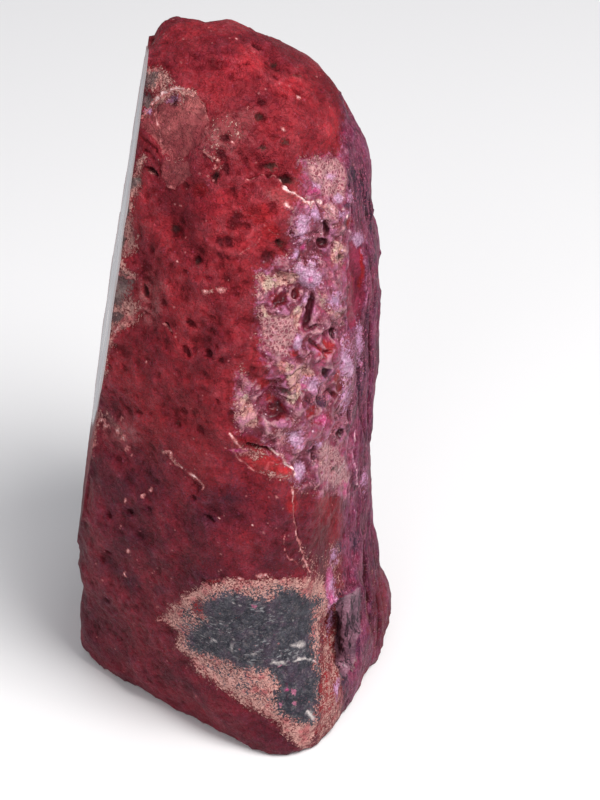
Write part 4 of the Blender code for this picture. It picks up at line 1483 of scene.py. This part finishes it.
class Rind:
    """Lays the rind's colour in layers, each over the last."""

    def __init__(self, graph, effects):
        self.graph = graph
        self.effects = effects
        self.place = graph.millimetres()
        self.fine = graph.noise(self.place, 0.4, 5.0, 0.7)
        self.raised = graph.attribute("raised")
        self.density = graph.attribute("crust")
        self.violet = self.patch("violet")
        self.rose = self.patch("ridge")
        self.threads = self.effect("threads", Size=1.7, Width=0.045)
        self.streaks = self.effect("streaks", Size=1.6)
        self.grains, self.chance = self.crust_grains()
        self.undyed = self.undyed_mask()
        self.colour = self.mottle(CRIMSON_DYE)

    def effect(self, name, **values):
        return use(self.graph, self.effects[name], **values)["Mask"]

    def patch(self, name):
        """The stored mask with a frayed edge, at its layer's strength."""
        size, fray, softness, strength = FRAYING[name]
        mask = self.graph.attribute(name)
        mask = self.effect("ragged", Mask=mask, Size=size, Fray=fray, Softness=softness)
        return mask if strength == 1.0 else self.graph.times(mask, strength)

    def mottle(self, dye):
        return use(self.graph, self.effects["mottle"], Dark=dye[0], Light=dye[1])["Colour"]

    def clouds(self, size, detail, *ends):
        """Noise cut to the four ends: where it starts and stops, and what it gives there."""
        return self.graph.ramp(self.graph.noise(self.place, size, detail), *ends)

    def on_fine(self, *ends):
        return self.graph.ramp(self.fine, *ends)

    def on_raised(self, *ends):
        return self.graph.ramp(self.raised, *ends)

    def tinted(self, colour, mask, tint):
        return self.graph.mix(mask, colour, self.graph.mix(1.0, colour, tint, "MULTIPLY"))

    def lay(self, mask, colour):
        self.colour = self.graph.mix(mask, self.colour, colour)

    def lay_tint(self, mask, tint):
        self.colour = self.tinted(self.colour, mask, tint)

    def lay_dyes(self):
        """Wine red below, with dark spots and warm clouds, painted light on lit patches high up, violet on
        the flank with painted shade and sheen, and rose on the ridge.
        """
        self.lay(self.patch("wine"), self.mottle(WINE_DYE))
        self.lay_tint(self.patch("dark_spot"), DARK_SPOT_TINT)
        self.lay_tint(self.patch("lit_clouds"), LIT_TINT)
        self.lay(self.patch("haze"), HAZE_PINK)
        self.lay(self.violet, self.mottle(VIOLET_DYE_SHADE_AND_SHEEN))
        self.lay(self.graph.times(self.rose, 0.75), self.mottle(ROSE_DYE))

    def lay_dust(self):
        """Pale dust lies along worn threads, raised walls get a painted highlight, and the hollows' floors
        get painted shade.
        """
        graph = self.graph
        finer = self.effect("threads", Size=0.9, Width=0.05)
        dust = graph.plus(graph.times(self.threads, 0.7), self.on_fine(0.42, 0.66, 0.0, 0.3))
        dust = graph.plus(dust, graph.times(finer, 0.3))
        dust = graph.plus(dust, self.on_raised(0.0, 0.8, 0.0, 0.55))
        cloudy = graph.ramp(graph.noise(self.place, 4.5, 4.0, 0.6), 0.38, 0.62, 0.3, 1.0)
        dust = graph.times(dust, graph.times(cloudy, self.on_raised(-0.6, 0.0)), clamp=True)
        self.lay_tint(dust, DUST_AND_EDGE_HIGHLIGHT_TINT)
        self.lay_tint(self.on_raised(-0.1, -0.9, 0.0, 0.7), HOLLOW_SHADE_TINT)

    def lay_scars(self):
        """The dusty disc, the smooth lens, red hollows, dark bluish spots, several of them on pits, and the
        fresh flake.
        """
        self.lay(self.patch("disc"), self.mottle(DISC_DYE))
        self.lay(self.patch("lens"), self.mottle(LENS_DYE))
        self.lay(self.patch("red"), self.mottle(RED_DYE))
        self.lay(self.patch("bluish"), self.mottle(BLUISH_DYE))
        flake = self.mottle(FLAKE_DYE)
        flake = self.graph.mix(self.clouds(1.1, 4.0, 0.56, 0.68, 0.0, 0.6), flake, FLAKE_PINK)
        flake = self.graph.mix(self.clouds(1.0, 3.0, 0.42, 0.34, 0.0, 0.8), flake, FLAKE_SHADE)
        self.lay(self.patch("flake"), flake)

    def crust_grains(self):
        """The pale grains' mask, and a value that differs from one to the next."""
        graph = self.graph
        clumped = graph.times(self.rose, graph.ramp(self.density, 0.75, 0.5))
        clumped = graph.times(clumped, self.clouds(2.4, 3.0, 0.38, 0.62, -0.34, 0.34))
        density = graph.plus(self.density, clumped, clamp=True)
        grains = use(graph, self.effects["grains"], Size=0.33, Density=density)
        return grains["Mask"], grains["Chance"]

    def undyed_mask(self):
        """The undyed patch breaks up into crumbs towards its edge."""
        share = self.graph.attribute("slate")
        crumbs = self.effect("grains", Size=0.36, Density=share)
        return self.graph.larger(crumbs, self.graph.ramp(share, 0.8, 1.0))

    def lay_crust(self):
        """Pale grains: cream, beige or salmon, dusky on the violet flank, with a painted lilac sheen on the
        ridge.
        """
        graph = self.graph
        chance = self.chance
        pale = graph.mix(self.clouds(2.2, 4.0, 0.32, 0.52), CRUST_SALMON, CRUST_BEIGE)
        pale = graph.mix(graph.times(self.clouds(3.1, 4.0, 0.48, 0.62), self.rose), pale, CRUST_CREAM)
        cool = graph.larger(self.violet, graph.times(self.rose, 0.85))
        cool = graph.times(cool, graph.ramp(self.density, 0.8, 0.5))
        pale = graph.mix(cool, pale, graph.mix(chance, *DUSKY_GRAINS))
        lilac = graph.ramp(self.patch("lilac"), 0.1, 0.9)
        pale = graph.mix(lilac, pale, graph.mix(chance, *LILAC_SHEEN_GRAINS))
        pale = self.tinted(pale, graph.times(chance, 0.35), GRAIN_TINT)
        pale = self.tinted(pale, graph.attribute("grimy"), GRIME_TINT)
        pores = graph.ramp(graph.noise(self.place, 0.26, 2.0, 0.6), 0.55, 0.66, 0.0, 0.6)
        pale = self.tinted(pale, pores, PORE_TINT)
        self.lay(self.patch("crust"), CRUST_GROUND)
        self.lay(self.grains, pale)
        net = self.effect("lace", Size=0.62)
        self.lay(self.patch("lace"), graph.mix(net, LACE_LINE, graph.mix(self.fine, *LACE_CELLS)))

    def lay_ridge(self):
        """Lumps lit pale on top as painted highlight, hollows deep red with painted shade, and painted
        lilac glints, highlight sparks and pearly highlights.
        """
        graph = self.graph
        tops = graph.times(self.rose, self.on_raised(0.1, 0.9, 0.0, 0.6))
        self.lay(tops, graph.mix(self.clouds(2.6, 3.0, 0.42, 0.58), *RIDGE_LIT_TOPS))
        hollows = graph.times(self.rose, self.on_raised(-0.3, -1.0, 0.0, 0.6))
        self.lay(hollows, RIDGE_HOLLOW_RED_AND_SHADE)
        glints = graph.plus(graph.attribute("lilac"), graph.times(self.fine, 0.4))
        glints = graph.ramp(glints, 0.85, 1.25, 0.0, 0.8)
        glints = graph.times(glints, graph.ramp(self.violet, 0.0, 1.0, 1.0, 0.35))
        self.lay(glints, graph.mix(self.fine, *LILAC_GLINTS))
        # Painted highlight sparks on the ridge and flank
        sparks = self.effect("specks", Size=0.75, Share=0.22)
        sparks = graph.times(sparks, graph.larger(self.rose, graph.times(self.violet, 0.35)))
        self.lay(graph.times(sparks, 0.85), SPARK_HIGHLIGHT)
        self.lay(self.patch("pearl_highlight"), graph.mix(self.on_fine(0.35, 0.65), *PEARLY_HIGHLIGHTS))

    def lay_fibres(self):
        """Upright fibres on the flank: dark between, light along."""
        graph = self.graph
        flank = graph.times(self.violet, graph.ramp(self.density, 0.6, 0.35))
        flank = graph.times(flank, graph.minus(1.0, graph.attribute("lens")))
        self.lay_tint(graph.times(self.streaks, graph.times(flank, 0.75)), STREAK_TINT)
        fibres = self.effect("streaks", Size=1.1)
        self.lay(graph.times(fibres, graph.times(flank, 0.5)), FIBRE)

    def lay_slate(self):
        """The undyed patch is grey, with crumbs and dashes of quartz in it."""
        graph = self.graph
        shade = graph.ramp(graph.noise(self.place, 1.4, 6.0, 0.7), 0.35, 0.68)
        slate = graph.mix(shade, *SLATE_GREYS)
        slate = graph.mix(self.clouds(3.4, 3.0, 0.5, 0.62, 0.0, 0.7), slate, SLATE_VIOLET)
        crumbs = self.effect("grains", Size=0.30, Density=0.28)
        slate = graph.mix(graph.times(crumbs, 0.45), slate, SLATE_CRUMB)
        quartz = graph.times(self.effect("dashes", Size=0.5), graph.attribute("quartz"))
        slate = graph.mix(graph.times(quartz, 0.75), slate, graph.mix(self.fine, *QUARTZ_WHITES))
        self.lay(self.undyed, slate)
        self.lay(self.patch("pinks"), PATCH_PINK)

    def lay_breaks(self):
        """Grey-brown chips, the cavity and magenta glints."""
        self.lay(self.patch("grey"), self.mottle(CHIP_GREYS))
        cavity = self.graph.mix(self.streaks, self.mottle(CAVITY_MAUVES), CAVITY_CRACK)
        self.lay(self.patch("cavity"), cavity)
        glints = self.graph.mix(self.on_fine(0.45, 0.65), *MAGENTA_GLINTS)
        self.lay(self.patch("magenta"), glints)

    def lay_pits_and_edges(self):
        """Painted shade darkens scattered dimples and the relief's deepest places, olive spots sit in pits,
        and broken edges are pale, partly painted highlights.
        """
        graph = self.graph
        self.lay(self.patch("olive"), OLIVE)
        # Painted shade: dark dimples, as of small pits
        dimples = self.effect("specks", Size=3.0, Share=0.3, Stretch=TALL_DIMPLES)
        self.lay_tint(graph.times(dimples, 0.3), DIMPLE_SHADE_TINT)
        self.lay(graph.ramp(graph.attribute("deep"), 0.35, 1.0, 0.0, 0.6), SHADOW)
        flecks = self.effect("specks", Size=1.0, Share=0.10)
        self.lay(graph.times(flecks, 0.45), FLECK)
        pale = graph.plus(graph.attribute("pale"), self.on_fine(0.3, 0.7, -0.15, 0.15))
        weak = graph.mix(self.violet, WEAK_PALE, WEAK_PALE_VIOLET)
        weak = graph.mix(self.undyed, weak, WEAK_PALE_PATCH)
        strong = graph.mix(self.undyed, PALE_EDGE_AND_HIGHLIGHT, PALE_IN_PATCH)
        self.lay(graph.ramp(pale, 0.16, 0.55), graph.mix(graph.ramp(pale, 0.55, 0.95), weak, strong))


def painted_rind(graph, effects):
    rind = Rind(graph, effects)
    rind.lay_dyes()
    rind.lay_dust()
    rind.lay_scars()
    rind.lay_crust()
    rind.lay_ridge()
    rind.lay_fibres()
    rind.lay_slate()
    rind.lay_breaks()
    rind.lay_pits_and_edges()
    return rind


def new_material(name):
    material = bpy.data.materials.new(name)
    material.use_nodes = True
    graph = Graph(material.node_tree)
    return material, graph, material.node_tree.nodes["Principled BSDF"]


def rind_material(effects):
    material, graph, surface = new_material("dyed rind")
    rind = painted_rind(graph, effects)
    graph.feed(surface.inputs["Base Color"], rind.colour)
    place = graph.millimetres()
    rough = graph.ramp(graph.noise(place, 1.3, 6.0, 0.7), 0.3, 0.7, 0.42, 0.62)
    rough = graph.plus(rough, graph.times(rind.grains, 0.12), clamp=True)
    smooth_parts = graph.larger(graph.attribute("lens"), graph.attribute("red"))
    rough = graph.minus(rough, graph.times(smooth_parts, 0.12), clamp=True)
    graph.feed(surface.inputs["Roughness"], rough)
    surface.inputs["Specular IOR Level"].default_value = 0.12
    glossy = graph.larger(graph.times(graph.attribute("ridge"), 0.45),
                         graph.times(graph.attribute("flake"), 0.6))
    glossy = graph.larger(glossy, graph.times(graph.attribute("cavity"), 0.5))
    graph.feed(surface.inputs["Coat Weight"], graph.times(glossy, 0.6, clamp=True))
    surface.inputs["Coat Roughness"].default_value = 0.28
    height = use(graph, effects["grain"], Pores=1.0)["Height"]
    height = graph.plus(height, graph.times(rind.grains, 0.5))
    height = graph.plus(height, graph.times(rind.threads, 0.3))
    height = graph.plus(height, graph.noise(place, 2.2, 4.0, 0.6, 0.4))
    dimples = graph.ramp(graph.cells(place, 1.9), 0.0, 0.55, -1.0, 0.0)
    height = graph.plus(height, graph.times(dimples, 0.5))
    graph.feed(surface.inputs["Normal"], graph.bump(height, 0.9, 0.42 * MM))
    return material


# The bands from the rim inwards: where on the way to the heart, and the colour there
BANDS = (
    (0.0, (0.16, 0.02, 0.03)),
    (0.035, (0.30, 0.06, 0.07)),
    (0.07, (0.30, 0.25, 0.26)),
    (0.12, (0.16, 0.16, 0.20)),
    (0.2, (0.45, 0.43, 0.44)),
    (0.24, (0.18, 0.19, 0.23)),
    (0.34, (0.26, 0.27, 0.32)),
    (0.4, (0.56, 0.52, 0.52)),
    (0.45, (0.20, 0.21, 0.26)),
    (0.6, (0.31, 0.24, 0.27)),
    (0.66, (0.60, 0.56, 0.56)),
    (0.72, (0.24, 0.25, 0.30)),
    (0.86, (0.36, 0.36, 0.41)),
    (1.0, (0.52, 0.52, 0.56)),
)
HEART_DEPTH = 17.0
LINE_COLOUR = (0.60, 0.58, 0.60)
CLOUD_COLOUR = (0.42, 0.39, 0.42)
SAWN_GREYS = ((0.16, 0.13, 0.15), (0.34, 0.27, 0.29))


def banded(graph, depth):
    """The bands' colour at a depth below the rim, with fine lines in them."""
    bands = graph.node("ShaderNodeValToRGB")
    ramp = bands.color_ramp
    while len(ramp.elements) < len(BANDS):
        ramp.elements.new(0.5)
    for element, (position, colour) in zip(ramp.elements, BANDS):
        element.position = position
        element.color = (*colour, 1.0)
    graph.feed(bands.inputs["Fac"], graph.maths("DIVIDE", depth, HEART_DEPTH))
    lines = graph.node("ShaderNodeTexWave", wave_type="BANDS", bands_direction="X", wave_profile="SIN")
    along = graph.node("ShaderNodeCombineXYZ")
    graph.feed(along.inputs["X"], depth)
    graph.feed(lines.inputs["Vector"], along.outputs["Vector"])
    lines.inputs["Scale"].default_value = 0.42
    return graph.mix(graph.times(lines.outputs["Fac"], 0.3), bands.outputs["Color"], LINE_COLOUR)


def face_material(effects):
    """Polished agate: bands that follow the rim, a clear quartz heart, and a thin dyed skin."""
    material, graph, surface = new_material("polished face")
    place = graph.millimetres()
    depth = graph.attribute("from_rim")
    wobble = graph.noise(place, 7.0, 3.0, 0.5)
    wave = graph.noise(place, 1.8, 3.0, 0.5)
    depth = graph.plus(depth, graph.times(graph.minus(wobble, 0.5), 4.0))
    depth = graph.plus(depth, graph.times(graph.minus(wave, 0.5), 0.7))
    clouds = graph.ramp(graph.noise(place, 5.0, 5.0), 0.4, 0.7, 0.0, 0.35)
    agate = graph.mix(clouds, banded(graph, depth), CLOUD_COLOUR)
    polish = graph.attribute("polish")
    polish = use(graph, effects["ragged"], Mask=polish, Size=1.4, Fray=1.1, Softness=0.12)["Mask"]
    dyed = use(graph, effects["mottle"], Dark=WINE_DYE[0], Light=WINE_DYE[1])["Colour"]
    graph.feed(surface.inputs["Base Color"], graph.mix(polish, dyed, agate))
    rough = graph.ramp(graph.noise(place, 6.0, 3.0), 0.3, 0.7, 0.26, 0.32)
    graph.feed(surface.inputs["Roughness"], graph.ramp(polish, 0.0, 1.0, 0.55, rough))
    surface.inputs["Specular IOR Level"].default_value = 0.3
    return material


def base_material(effects):
    """Sawn stone: matt, with the marks of the blade, and clouds of soaked-in dye."""
    material, graph, surface = new_material("sawn base")
    place = graph.millimetres()
    marks = graph.node("ShaderNodeTexWave", wave_type="BANDS", bands_direction="Y")
    graph.feed(marks.inputs["Vector"], place)
    marks.inputs["Scale"].default_value = 0.55
    marks.inputs["Distortion"].default_value = 0.6
    soaked = use(graph, effects["mottle"], Dark=WINE_DYE[0], Light=WINE_DYE[1])["Colour"]
    grey = graph.mix(graph.noise(place, 2.0, 5.0), *SAWN_GREYS)
    colour = graph.mix(graph.ramp(graph.noise(place, 14.0, 4.0), 0.42, 0.6), soaked, grey)
    graph.feed(surface.inputs["Base Color"], colour)
    graph.feed(surface.inputs["Roughness"], graph.ramp(graph.noise(place, 1.0), 0.3, 0.7, 0.55, 0.7))
    graph.feed(surface.inputs["Normal"], graph.bump(marks.outputs["Fac"], 0.5, 0.12 * MM))
    return material


# ---------------------------------------------------------------- stage and light
FLOOR_SIZE = 6.0  # metres, as are the lights' places and sizes
FLOOR_GREY = (0.86, 0.86, 0.87)
SKY = (0.95, 0.96, 1.0)
SKY_STRENGTH = 0.40
LIGHTS_AIM = Vector((0, 0, 0.06))
# Name, place, size, power and colour
LIGHTS = (
    ("key", (0.22, 0.26, 0.62), 0.30, 5.0, (1.0, 0.98, 0.96)),
    ("fill", (0.7, -0.25, 0.45), 0.5, 1.6, (1.0, 1.0, 1.0)),
)


def add_floor():
    bpy.ops.mesh.primitive_plane_add(size=FLOOR_SIZE, location=(0, 0, 0))
    floor = bpy.context.active_object
    floor.name = "floor"
    material, _, surface = new_material("pale floor")
    surface.inputs["Base Color"].default_value = (*FLOOR_GREY, 1.0)
    surface.inputs["Roughness"].default_value = 0.7
    floor.data.materials.append(material)


def add_light(name, place, size, power, colour):
    data = bpy.data.lights.new(name, "AREA")
    data.shape = "SQUARE"
    data.size = size
    data.energy = power
    data.color = colour
    lamp = bpy.data.objects.new(name, data)
    lamp.location = place
    towards = Vector(place) - LIGHTS_AIM
    lamp.rotation_euler = towards.to_track_quat("Z", "Y").to_euler()
    bpy.context.scene.collection.objects.link(lamp)


def add_lights():
    world = bpy.data.worlds.new("studio")
    bpy.context.scene.world = world
    world.use_nodes = True
    background = world.node_tree.nodes["Background"]
    background.inputs["Color"].default_value = (*SKY, 1.0)
    background.inputs["Strength"].default_value = SKY_STRENGTH
    for light in LIGHTS:
        add_light(*light)


# ---------------------------------------------------------------- putting it together
def make_stone():
    """The stone with its relief and its masks, kept on its cuts and within the solid's box."""
    stone, offset = refined_stone()
    surface = Surface(stone, offset)
    moved = fine_relief(surface)
    rim_fade = smooth_step(surface.points[:, 2] / BASE_FADE)
    moved = np.where(surface.on_face | surface.on_base, 0.0, moved * rim_fade)
    points = surface.points + moved[:, None] * surface.normals
    over = np.maximum(points @ FACE_LOOKS - offset, 0)
    points -= over[:, None] * FACE_LOOKS
    points[:, 2] = np.maximum(points[:, 2], 0.0)
    low, high = (np.array(corner) / MM for corner in cad_box)
    points = np.clip(points, low, high)
    set_points(stone.data, points)
    paint_masks(stone, surface, moved)
    return stone, offset


def assign_materials(stone, offset):
    """Rind everywhere but on the polished part of the face and on the base."""
    effects = make_effects()
    mesh = stone.data
    for material in (rind_material(effects), face_material(effects), base_material(effects)):
        mesh.materials.append(material)
    centres = face_values(mesh, "center") / MM
    normals = face_values(mesh, "normal")
    slots = np.zeros(len(centres), int)
    polished = (np.abs(centres @ FACE_LOOKS - offset) < CUT_DEPTH) & (normals @ FACE_LOOKS > CUT_FLATNESS)
    slots[polished & (above_foot(centres) > 0)] = 1
    slots[(centres[:, 2] < CUT_DEPTH) & (normals[:, 2] < -CUT_FLATNESS)] = 2
    mesh.polygons.foreach_set("material_index", slots)


def shade(stone):
    select_only(stone)
    bpy.ops.object.shade_smooth_by_angle(angle=math.radians(SHARP_ANGLE))


bpy.context.scene.view_settings.view_transform = "Standard"
add_camera()
stone, offset = make_stone()
assign_materials(stone, offset)
shade(stone)
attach(stone, "root")
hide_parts("agate")
add_floor()
add_lights()
